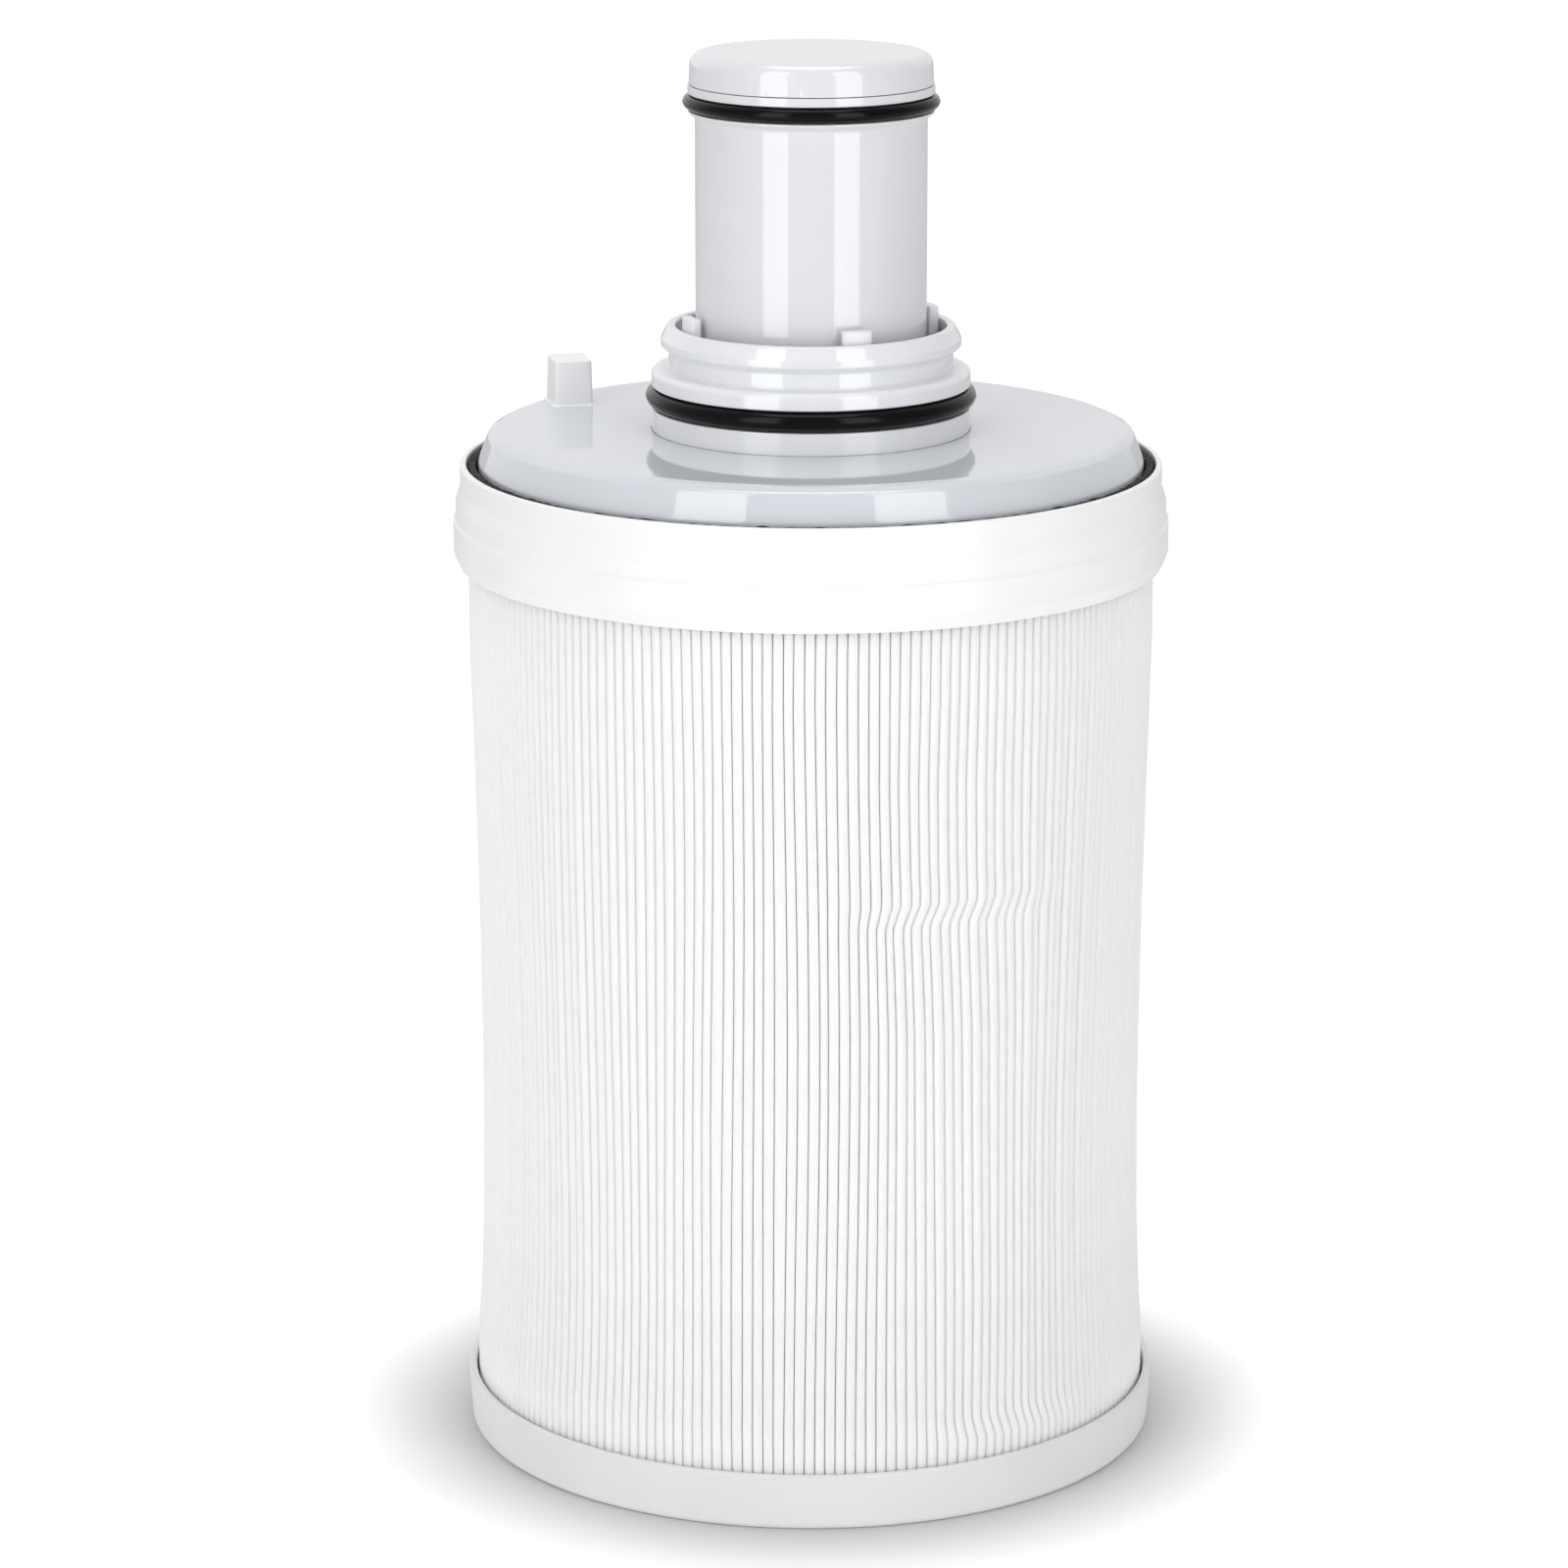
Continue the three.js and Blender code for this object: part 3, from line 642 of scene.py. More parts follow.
def filleted(corners, spacing=None):
    """Corners (r, z, fillet) become points (r, z, rub). Each corner turns into an arc tangent to both
    sides: its centre lies on the bisector, fillet / sin(half the angle) from the corner. Straights keep a
    point just inside each end, so that smooth shading stays flat; rub is 1 on outward arcs."""
    p = np.array([c[:2] for c in corners], float)
    fillet = np.array([c[2] for c in corners], float)
    closed = corners[0][0] > 0
    back, ahead = np.roll(p, 1, 0) - p, np.roll(p, -1, 0) - p
    back_len, ahead_len = np.linalg.norm(back, axis=1), np.linalg.norm(ahead, axis=1)
    back, ahead = back / back_len[:, None], ahead / ahead_len[:, None]
    half = np.arccos(np.clip((back * ahead).sum(1), -1, 1)) / 2
    reach = np.minimum(fillet / np.tan(half), SIDE_SHARE * np.minimum(back_len, ahead_len))
    rad = reach * np.tan(half)
    outward = back[:, 1] * ahead[:, 0] - back[:, 0] * ahead[:, 1] > 0
    pieces = []
    for i in range(len(p)):
        if reach[i] < SHARP_MM or (not closed and i in (0, len(p) - 1)):
            arc = np.array([[*p[i], 0.0]])
        else:
            bisector = (back[i] + ahead[i]) / np.linalg.norm(back[i] + ahead[i])
            centre = p[i] + bisector * rad[i] / np.sin(half[i])
            first, last = p[i] + back[i] * reach[i] - centre, p[i] + ahead[i] * reach[i] - centre
            a0, a1 = np.arctan2(first[1], first[0]), np.arctan2(last[1], last[0])
            sweep = (a1 - a0 + PI) % (2 * PI) - PI
            a = a0 + sweep * np.linspace(0, 1, ARC_POINTS)
            on_arc = centre + rad[i] * np.stack([np.cos(a), np.sin(a)], 1)
            arc = np.column_stack([on_arc, np.full(len(a), float(outward[i]))])
        pieces.append(arc)
    out = []
    for i, arc in enumerate(pieces):
        out.append(arc)
        if i == len(pieces) - 1 and not closed:
            break
        start, end = arc[-1, :2], pieces[(i + 1) % len(pieces)][0, :2]
        length = np.linalg.norm(end - start)
        if length < TOUCHING_MM:
            continue
        count = max(2, int(length / spacing) + 1) if spacing else 2
        share = np.linspace(0, 1, count + 1)[1:-1]
        edge = min(SUPPORT_MM, 0.25 * length) / length
        between = share[(share > 1.5 * edge) & (share < 1 - 1.5 * edge)]
        share = np.unique(np.concatenate([[edge], between, [1 - edge]]))
        straight = start + (end - start) * share[:, None]
        out.append(np.column_stack([straight, np.zeros(len(straight))]))
    return np.concatenate(out)


trial = filleted([(0, 0, 0), (5, 0, 1), (5, 5, 0), (0, 5, 0)])
print("a square corner with a 1 mm fillet has", len(trial), "points in its profile")

# %% [markdown]
# A grid of points is skinned with four-sided faces, and foreach_set writes whole arrays into the mesh at
# once. Where a profile meets the axis, a fan of triangles closes it at one shared point, the pole.

# %% Skin a grid
def make_object(name, points_mm, faces, rub=None):
    """A smooth mesh object from points in mm and a list of face arrays, one for each number of corners."""
    mesh = bpy.data.meshes.new(name)
    sizes = np.concatenate([np.full(len(f), f.shape[1]) for f in faces])
    corner = np.concatenate([f.ravel() for f in faces]).astype(np.int32)
    mesh.vertices.add(len(points_mm))
    mesh.vertices.foreach_set("co", (points_mm * MM).astype(np.float32).ravel())
    mesh.loops.add(len(corner))
    mesh.loops.foreach_set("vertex_index", corner)
    mesh.polygons.add(len(sizes))
    mesh.polygons.foreach_set("loop_start", (np.cumsum(sizes) - sizes).astype(np.int32))
    mesh.polygons.foreach_set("use_smooth", np.full(len(sizes), True))
    mesh.update(calc_edges=True)
    mesh.validate()
    if rub is not None:
        kept = mesh.attributes.new("rub", "FLOAT", "POINT")
        kept.data.foreach_set("value", rub.astype(np.float32))
    obj = bpy.data.objects.new(name, mesh)
    bpy.context.scene.collection.objects.link(obj)
    return obj


def skinned(name, grid, rub=None, ends=None):
    """Skins a grid of shape (rows, columns, 3) with quads (i, j), (i, j+1), (i+1, j+1), (i+1, j). Columns
    close into a ring. Rows do too, or else fans of triangles join the first and last row to the points in
    ends, the poles. The rub values have the shape (rows, columns) or (rows, 1)."""
    rows, columns = grid.shape[:2]
    i, j = np.arange(rows if ends is None else rows - 1)[:, None], np.arange(columns)
    i2, j2 = (i + 1) % rows, (j + 1) % columns
    quads = [i * columns + j, i * columns + j2, i2 * columns + j2, i2 * columns + j]
    points, faces = grid.reshape(-1, 3), [np.stack(quads, -1).reshape(-1, 4)]
    if rub is not None:
        rub = np.broadcast_to(rub, (rows, columns)).ravel()
    if ends is not None:
        count, last = len(points), len(points) - columns
        faces.append(np.stack([np.full(columns, count), j2, j], 1))
        faces.append(np.stack([last + j, last + j2, np.full(columns, count + 1)], 1))
        points, rub = np.concatenate([points, ends]), np.concatenate([rub, [0, 0]])
    return make_object(name, points, faces, rub)


def round_axis(r, z, a):
    """Points (r cos a, r sin a, z)."""
    return np.stack([r * np.cos(a), r * np.sin(a), z], -1)


def turned(name, corners, steps=288, spacing=None, shape=None):
    """Surface of revolution: every profile point at every angle of a whole turn. shape(r, z, a) may move
    the points first, for grooves and notches."""
    profile = filleted(corners, spacing)
    closed = corners[0][0] > 0
    ring = profile if closed else profile[1:-1]
    a = np.arange(steps) / steps * 2 * PI
    r, z = np.repeat(ring[:, :1], steps, 1), np.repeat(ring[:, 1:2], steps, 1)
    if shape:
        r, z = shape(r, z, a[None, :])
    ends = None if closed else [[0, 0, profile[0, 1]], [0, 0, profile[-1, 1]]]
    return skinned(name, round_axis(r, z, a), ring[:, 2:], ends)


def rounded(v, power):
    """One coordinate of a superellipse, from a cosine or sine. A smaller power gives squarer corners."""
    return np.sign(v) * np.abs(v) ** power


def stacked(name, x, y, z, rub):
    """Rows of points, with one height and one rub value for each row, closed by a pole at both ends."""
    grid = np.stack([x, y, z[:, None] + 0 * x], -1)
    return skinned(name, grid, rub[:, None], [grid[0].mean(0), grid[-1].mean(0)])


def finish_piece(piece, body, material, slot, *nodes):
    """Gives a piece its material and body, and hides the CAD nodes that it stands for; its slot is not used.
    """
    piece.data.materials.append(material)
    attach(piece, body)
    if nodes:
        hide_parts(*nodes)
    print(piece.name, "has", len(piece.data.loops) - 2 * len(piece.data.polygons), "triangles")
    return piece


# %% [markdown]
# ## Bottom cap
# A shallow cup moulded in white polypropylene. The pleats are dipped in adhesive and set into it. Its
# floor is raised in the middle, so that the cartridge stands on the outer ring and can't rock.

# %% Bottom cap
BASE_R = radius("bottom_cap")
BASE_TOP = high("bottom_cap")
BASE_FLOOR = 3.2
bottom_cap = turned("bottom_cap_smooth", [
    (0, 1.2, 0), (35.5, 1.2, 0.8), (37.0, 0, 0.8), (BASE_R - 0.7, 0, 1.3), (BASE_R, BASE_TOP, 0.45),
    (BASE_R - 1.5, BASE_TOP, 0.4), (BASE_R - 1.9, BASE_FLOOR, 0.6), (0, BASE_FLOOR, 0),
], steps=360)
finish_piece(bottom_cap, "cartridge", cap_plastic, "white_plastic", "bottom_cap")

# %% [markdown]
# ## Pleated prefilter
# One long sheet of non-woven cloth is folded back and forth 210 times and closed into a ring. Seen from
# outside, each fold is a rounded crest with a narrow, deep valley beside it. A displacement map on a
# cylinder would look painted on, so the folds are geometry: a closed wall with an outer and an inner
# face, both worked out from one grid of valley angles.
#
# Real packs are never quite regular. The valleys wander, some crests stand prouder than others, the pack
# is drawn in at its middle, and here and there the folds were caught and step sideways within a few
# millimetres.

# %% Where the valleys run
PLEATS = 210
MEDIA_LOW, MEDIA_HIGH = low("pleated_media"), high("pleated_media")
WAIST_Z, WAIST_R = 74.0, 64.6
WIDER_ABOVE, WIDER_BELOW = 1.8, 1.3
RISE_ABOVE, RISE_BELOW = 92, 53
WIDEST_R = 66.1
ROOT_R = 56.3
CLOTH_MM = 0.6
SNAGS = [(-64, 119, 17, 0.50), (-52, 17, 15, -0.42), (150, 119, 18, 0.45)]  # angle, height, width, pitches
SNAG_HIGH, SNAG_STEP = 13, 1.4
uneven = np.random.default_rng(11)
OWN_BOW = uneven.normal(0, 0.07, PLEATS)
OWN_RIPPLE = uneven.normal(0, 0.035, PLEATS)
OWN_HEIGHT = uneven.normal(0, 0.10, PLEATS)


def crest_radius(z):
    """Crest radius in mm: WAIST_R at the waist, opening as a power of 1.6 upwards and of 3 downwards."""
    above = np.clip((z - WAIST_Z) / RISE_ABOVE, 0, None) ** 1.6
    below = np.clip((WAIST_Z - z) / RISE_BELOW, 0, None) ** 3
    return WAIST_R + WIDER_ABOVE * above + WIDER_BELOW * below


def valley(fold, z):
    """Where a valley runs, in pitches round the ring. Two slow waves and each fold's own bow and ripple
    all fade out at both ends, where adhesive holds the cloth. At a snag, tanh steps the folds aside."""
    up = (z - MEDIA_LOW) / (MEDIA_HIGH - MEDIA_LOW)
    around = fold / PLEATS * 2 * PI
    wander = 0.20 * np.sin(5 * around + 6 * up) + 0.14 * np.sin(11 * around - 4 * up + 1.0)
    own = fold % PLEATS
    wander = wander + OWN_BOW[own] * np.sin(PI * up) + OWN_RIPPLE[own] * np.sin(3 * PI * up)
    place_of = fold + wander * np.sin(PI * up) ** 0.5
    for at_deg, at_z, width_deg, step in SNAGS:
        away_deg = (np.degrees(around) - at_deg + 180) % 360 - 180
        reach = np.exp(-(away_deg / width_deg) ** 4) * np.exp(-((z - at_z) / SNAG_HIGH) ** 2)
        place_of = place_of + step * reach * np.tanh((z - at_z) / SNAG_STEP)
    return place_of


print("pitch at the crests:", round(2 * PI * crest_radius(WAIST_Z) / PLEATS, 2), "mm")

# %% Pleats
CREST_ROUND = 1.05
ROUND_PHASE, PINCH_PHASE, PINCH_MM = 0.86, 0.97, 0.95
INNER_TURN, INNER_SLOPE = 0.10, 0.20
HALF_OUTER = np.array([0.36, 0.66, ROUND_PHASE, PINCH_PHASE])
HALF_INNER = np.array([0.10, 0.20, 0.30, 0.60])
OUTER_PHASE = np.concatenate([[-1.0], -HALF_OUTER[::-1], [0.0], HALF_OUTER])
INNER_PHASE = np.concatenate([[-1.0], -HALF_INNER[::-1], [0.0], HALF_INNER])
FOLD_ROWS = np.concatenate([
    [MEDIA_LOW, 8.0], np.linspace(13, 21, 5), [27.0, 42.0, 60.0, 78.0, 96.0, 110.0],
    np.linspace(115, 123, 5), [129.0, 144.0, 160.0, MEDIA_HIGH],
])


def wall_face(phase, drop, into_wall, rows):
    """Points of one face: the angle runs from one valley to the next as phase runs from -1 to 1, and the
    radius goes from the crest, less its drop, to the root as into_wall goes from 0 to 1."""
    z = rows[:, None, None]
    fold = np.arange(PLEATS)[None, :, None]
    share = (phase[None, None, :] + 1) / 2
    angle = ((1 - share) * valley(fold, z) + share * valley(fold + 1, z)) / PLEATS * 2 * PI
    prouder = OWN_HEIGHT[fold] * np.sin(PI * (z - MEDIA_LOW) / MEDIA_HIGH)
    crest = np.minimum(crest_radius(z) + prouder, WIDEST_R)
    r = (crest - drop) * (1 - into_wall) + ROOT_R * into_wall
    points = round_axis(r, z + 0 * angle, angle)
    # The second array is 1 on the crest and falls towards the valley; it sets the cloth's painted shade.
    return points.reshape(len(rows), -1, 3), np.clip(1 - (crest - r) / 2, 0, 1).reshape(len(rows), -1)


def make_pleats():
    """One closed grid: its rows go up the outer face and come back down the inner face, one cloth further
    in. A crest falls away as a circle does, then steepens to where neighbouring folds pinch together;
    below that only a hair of a gap is left, down to the root at the valley."""
    half_pitch = PI * crest_radius(WAIST_Z) / PLEATS
    phase = np.abs(OUTER_PHASE)
    width = np.minimum(phase, ROUND_PHASE) * half_pitch
    round_drop = CREST_ROUND - np.sqrt(CREST_ROUND ** 2 - width ** 2)
    steep = np.clip((phase - ROUND_PHASE) / (PINCH_PHASE - ROUND_PHASE), 0, 1)
    drop = round_drop + (PINCH_MM - round_drop) * steep
    outer_wall = np.clip((phase - PINCH_PHASE) / (1 - PINCH_PHASE), 0, 1)
    inner_wall = np.clip((np.abs(INNER_PHASE) - INNER_TURN) / INNER_SLOPE, 0, 1)
    outer, outer_shade_mask = wall_face(OUTER_PHASE, drop, outer_wall, FOLD_ROWS)
    inner, inner_shade_mask = wall_face(INNER_PHASE, CLOTH_MM, inner_wall, FOLD_ROWS[::-1])
    inner[..., :2] *= 1 - CLOTH_MM * np.tile(inner_wall, PLEATS)[None, :, None] / ROOT_R
    points = np.concatenate([outer, inner])
    along = np.linalg.norm(np.diff(points, axis=1, prepend=points[:, :1]), axis=-1).cumsum(1)
    made = skinned("folded_cloth", points, np.concatenate([outer_shade_mask, inner_shade_mask]))
    add_cloth_map(made, np.stack([along, points[..., 2]], -1).reshape(-1, 2))
    return made, along[0, -1]


def add_cloth_map(obj, uv_mm):
    """A UV map named cloth, laid out in mm of cloth, from one (u, v) for each vertex."""
    corner = np.zeros(len(obj.data.loops), np.int32)
    obj.data.loops.foreach_get("vertex_index", corner)
    obj.data.uv_layers.new(name="cloth").data.foreach_set("uv", uv_mm[corner].astype(np.float32).ravel())


pleats, cloth_length = make_pleats()
finish_piece(pleats, "cartridge", media_cloth, "pleated_fabric", "pleated_media")
print("cloth before folding:", round(cloth_length), "by", round(MEDIA_HIGH - MEDIA_LOW, 1), "mm")

# %% [markdown]
# ## Top ring
# The pack's upper frame: a skirt that the pleats are glued into, and above it a slightly narrower neck,
# which the dispenser's housing slides over. The thin line of light round the middle is a ledge half a
# millimetre wide that faces up. Below, the skirt draws in towards the pleats.

# %% Top ring
RING_R, RING_LOW, RING_HIGH = extent("top_ring")
NECK_R = RING_R - 1.4
RING_BORE = 66.3
STEP_Z = 182.3
LEDGE, NECK_FOOT_Z = 0.5, 188.4
WEB_LOW, WEB_HIGH = 186.5, 188.3
WEB_R = 53.2
LID_SKIRT_Z = 190.9

top_ring = turned("top_ring_smooth", [
    (WEB_R, WEB_LOW, 0.3), (RING_BORE, WEB_LOW, 0.4), (RING_BORE, RING_LOW, 0.3),
    (RING_R - 1.1, RING_LOW, 0.3), (RING_R, RING_LOW + 2.6, 1.5),
    (RING_R, STEP_Z, 0.2), (RING_R - LEDGE, STEP_Z + LEDGE, 0.2),
    (RING_R - LEDGE, NECK_FOOT_Z - 2.4, 2.5), (NECK_R, NECK_FOOT_Z + 0.4, 2.5), (NECK_R, RING_HIGH, 0.55),
    (RING_BORE, RING_HIGH, 0.25), (RING_BORE, WEB_HIGH, 0.4), (WEB_R, WEB_HIGH, 0.3),
], steps=360)
finish_piece(top_ring, "cartridge", ring_plastic, "ring_plastic", "top_ring")

# %% [markdown]
# ## Crinkled seal band
# The band in the gap under the lid is compressed foam. A lip of it is squeezed up into the gap between
# the lid and the ring. Sums of waves round the ring and round the section push its surface into folds
# that catch the light.

# %% Seal band surface
SEAL_INNER, SEAL_OUTER = 58.6, RING_BORE - 0.35
SEAL_LOW, SEAL_HIGH = WEB_HIGH + 0.4, LID_SKIRT_Z - 0.7
SEAL_LIP_R, SEAL_LIP_TOP = 64.45, high("rim_seal") + 0.7
LUMP_R, LUMP_Z, LUMP_SINK = 0.04, 0.09, 0.1


def make_seal_ring():
    """The section is a rounded L: a flat band under the lid's skirt and a lip up the gap beside it. Each
    point of it is pushed along r and z by sums of waves in both directions, by about 0.3 mm at most."""
    section = filleted([
        (SEAL_INNER, SEAL_LOW, 0.5), (SEAL_OUTER, SEAL_LOW, 0.3), (SEAL_OUTER, SEAL_LIP_TOP, 0.5),
        (SEAL_LIP_R, SEAL_LIP_TOP, 0.4), (SEAL_LIP_R, SEAL_HIGH, 0.3), (SEAL_INNER, SEAL_HIGH, 0.5),
    ], spacing=0.4)
    columns = 900
    a = np.arange(columns)[None, :] / columns * 2 * PI
    b = np.arange(len(section))[:, None] / len(section) * 2 * PI
    lumps = np.sin(31 * a + 9 * b) + np.sin(57 * a - 5 * b + 1)
    lumps = lumps + 0.8 * np.sin(93 * a + 7 * b) + 0.6 * np.sin(141 * a)
    r = section[:, :1] + LUMP_R * lumps - LUMP_SINK
    z = section[:, 1:2] + LUMP_Z * lumps * np.cos(17 * a + 2 * b)
    return skinned("crinkled_band", round_axis(r, z, a))


finish_piece(make_seal_ring(), "cartridge", seal_band, "black_rubber", "rim_seal")

# %% [markdown]
# ## Lid
# The upper end cap closes the carbon block and shows as the grey dome with a polished, flat top. Its
# shoulder falls away in a wide, soft curve, which stretches the softboxes' reflections into two pale
# blocks. Below it is a wall and a skirt, and in the middle the raised lip of the pocket that holds the
# collar and the lock ring.

# %% Lid
LID_TOP = 199.5
LID_R = 64.0
LID_FLAT_R = 59.5
LID_PLATE = 2.5
POCKET_BORE, POCKET_SEAT, POCKET_Z = 24.2, 29.0, 196.4
COLLAR_R = 30.6
RECESS_R, RECESS_DEPTH = COLLAR_R + 0.08, 0.3
BOSS_R, BOSS_LOW, BOSS_HIGH = 28.5, low("upper_end_cap"), 193.5
UNDER = LID_TOP - LID_PLATE

lid = turned("upper_end_cap_smooth", [
    (POCKET_BORE, BOSS_LOW, 0.3), (BOSS_R, BOSS_LOW, 0.4), (BOSS_R, BOSS_HIGH, 0.3),
    (POCKET_SEAT + 3, BOSS_HIGH, 0.5), (POCKET_SEAT + 4.5, UNDER, 1.0), (LID_FLAT_R, UNDER, 1.5),
    (LID_R - LID_PLATE, UNDER - 4, 1.0), (LID_R - LID_PLATE, LID_SKIRT_Z, 0.3),
    (LID_R, LID_SKIRT_Z, 0.4), (LID_R, LID_TOP - 6.0, 1.6),
    (LID_R - 2.0, LID_TOP - 0.9, 1.0), (LID_R - 3.6, LID_TOP - 0.12, 1.0), (LID_FLAT_R - 1.5, LID_TOP, 6.0),
    (RECESS_R, LID_TOP, 0.05), (RECESS_R, LID_TOP - RECESS_DEPTH, 0.1),
    (POCKET_SEAT, LID_TOP - RECESS_DEPTH, 0.2), (POCKET_SEAT, POCKET_Z, 0.2), (POCKET_BORE, POCKET_Z, 0.2),
], steps=360)

# %% [markdown]
# The locating lug stands near the lid's edge and tells the dispenser which way round the cartridge is. It
# is a drafted block with rounded corners, and its foot flares into the lid, as the tool's fillet makes
# it. Its plan is a superellipse, so one formula rounds all four corners, and rows of it are stacked with
# changing size.

# %% Locating lug
LUG = {"radius": 54.6, "angle": 150.4, "turn": 13.0, "width": 7.7, "length": 10.2, "taper": 0.94,
       "foot": 0.5, "edge": 0.3, "corner": 0.16}


def make_lug():
    """Rows of a superellipse |x/a|^n + |y/b|^n = 1. Going up, a and b flare in as the foot's quarter
    circle, shrink with the draft, and close over the top edge's quarter circle to a pole."""
    top = high("upper_end_cap")
    foot, edge = LUG["foot"], LUG["edge"]
    quarter = np.linspace(0, PI / 2, 7)
    z = np.concatenate([
        [LID_TOP - 0.6], LID_TOP + foot * (1 - np.cos(quarter)), np.linspace(LID_TOP + 2, top - 1.2, 6),
        top - edge + edge * np.sin(quarter), [top, top, top],
    ])
    grow = np.concatenate([
        [foot], foot * (1 - np.sin(quarter)), np.zeros(6), -edge * (1 - np.cos(quarter)), [-0.6, -1.6, -3.0],
    ])
    draft = 1 + (LUG["taper"] - 1) * np.clip((z - LID_TOP) / (top - LID_TOP), 0, 1)
    b = np.arange(96) / 96 * 2 * PI
    x = (LUG["width"] / 2 * draft + grow)[:, None] * rounded(np.cos(b), LUG["corner"])
    y = (LUG["length"] / 2 * draft + grow)[:, None] * rounded(np.sin(b), LUG["corner"])
    turn, at = math.radians(LUG["turn"]), math.radians(LUG["angle"])
    across = x * math.cos(turn) - y * math.sin(turn) + LUG["radius"] * math.cos(at)
    deep = x * math.sin(turn) + y * math.cos(turn) + LUG["radius"] * math.sin(at)
    rub = np.concatenate([np.zeros(14), np.ones(7), np.zeros(3)])
    return stacked("lid_lug", across, deep, z, rub)


finish_piece(lid, "cartridge", lid_plastic, "lid_plastic", "upper_end_cap")
finish_piece(make_lug(), "cartridge", lug_plastic, "lid_plastic", "upper_end_cap")

# %% [markdown]
# ## Outlet collar
# The collar is the outlet's plug: an O-ring in its groove seals it in the dispenser. Above the groove is
# a narrow shelf, then a neck with a snap bead near the top. Its bore leaves room for the lock ring's
# tabs.

# %% Outlet collar
COLLAR_BORE, COLLAR_NECK, COLLAR_SPIGOT = 25.9, 27.3, 28.7
SHELF_Z = 211.2
RIM_Z = high("outlet_collar")
BEAD_R, BEAD_Z = 28.8, 216.2
POCKET_R, POCKET_TOP = 26.9, 201.0
GROOVE_ROOT, GROOVE_LOW, GROOVE_HIGH = 27.5, 205.85 - 2.1, 205.85 + 2.1

collar = turned("outlet_collar_smooth", [
    (POCKET_R, POCKET_Z + 0.3, 0.2), (COLLAR_SPIGOT, POCKET_Z + 0.3, 0.3), (COLLAR_SPIGOT, LID_TOP, 0.1),
    (COLLAR_R, LID_TOP, 0.05), (COLLAR_R, GROOVE_LOW, 0.2), (GROOVE_ROOT, GROOVE_LOW, 0.3),
    (GROOVE_ROOT, GROOVE_HIGH, 0.3), (COLLAR_R, GROOVE_HIGH, 0.25), (COLLAR_R, SHELF_Z, 1.1),
    (COLLAR_NECK, SHELF_Z, 0.7), (COLLAR_NECK, BEAD_Z - 1.7, 0.4), (BEAD_R, BEAD_Z - 0.5, 0.5),
    (BEAD_R, BEAD_Z + 0.8, 0.7), (COLLAR_NECK + 0.2, RIM_Z, 0.7), (COLLAR_BORE, RIM_Z, 0.5),
    (COLLAR_BORE, POCKET_TOP, 0.3), (POCKET_R, POCKET_TOP, 0.2),
], steps=300)
finish_piece(collar, "cartridge", collar_plastic, "white_plastic", "outlet_collar")

# %% [markdown]
# ## O-rings
# A moulded O-ring is a torus with a hair-thin flash line round its outside and inside, where the halves
# of the mould met. The ridge is a narrow bell curve added to the section's radius, and the section is
# squeezed a little where it sits in its groove.

# %% O-rings
FLASH_MM, FLASH_WIDTH = 0.05, 0.05


def o_ring(name, body, inner_r, columns=300, rows=48):
    """Section radius = cord / 2 + flash at b = 0 and b = pi; the ring then turns once about Z."""
    outer_r, z_low, z_high = extent(name)
    cord_r, cord_z = (outer_r - inner_r) / 2 - FLASH_MM, (z_high - z_low) / 2
    b = np.arange(rows)[:, None] / rows * 2 * PI
    a = np.arange(columns)[None, :] / columns * 2 * PI
    away = np.minimum(np.abs(np.sin(b / 2)), np.abs(np.cos(b / 2)))
    ridge = FLASH_MM * np.exp(-(away / FLASH_WIDTH) ** 2)
    r = (outer_r + inner_r) / 2 + (cord_r + ridge) * np.cos(b) + 0 * a
    z = (z_low + z_high) / 2 + cord_z * np.sin(b) + 0 * a
    piece = skinned(name + "_smooth", round_axis(r, z, a))
    return finish_piece(piece, body, black_rubber, "black_rubber", name)


o_ring("collar_o_ring", "cartridge", GROOVE_ROOT + 0.1)

# %% [markdown]
# ## Lock ring
# A flat ring that is held under the collar, with four tabs that stand up between the collar and the stem.
# Turning the stem turns it, because a key inside each tab runs in a groove of the stem. Each tab follows
# the bore's curve: it is a block in polar coordinates, so its broad faces are arcs.

# %% Lock ring
LOCK_INNER, LOCK_FLANGE = 24.6, radius("lock_ring")
LOCK_LOW, LOCK_TOP, TAB_TOP = low("lock_ring"), 200.7, high("lock_ring")
TAB_INNER, TAB_OUTER, TAB_WIDTH = 23.2, 25.4, 5.8
TAB_ANGLES = [20.4 - 180 + 90 * i for i in range(4)]  # degrees about +X
KEY_INNER, KEY_WIDTH, KEY_TOP = 21.1, 3.6, 204.0
TAB_EDGE, KEY_EDGE, BLOCK_CORNER = 0.45, 0.35, 0.35
FOOT_Z = LOCK_LOW + 0.1


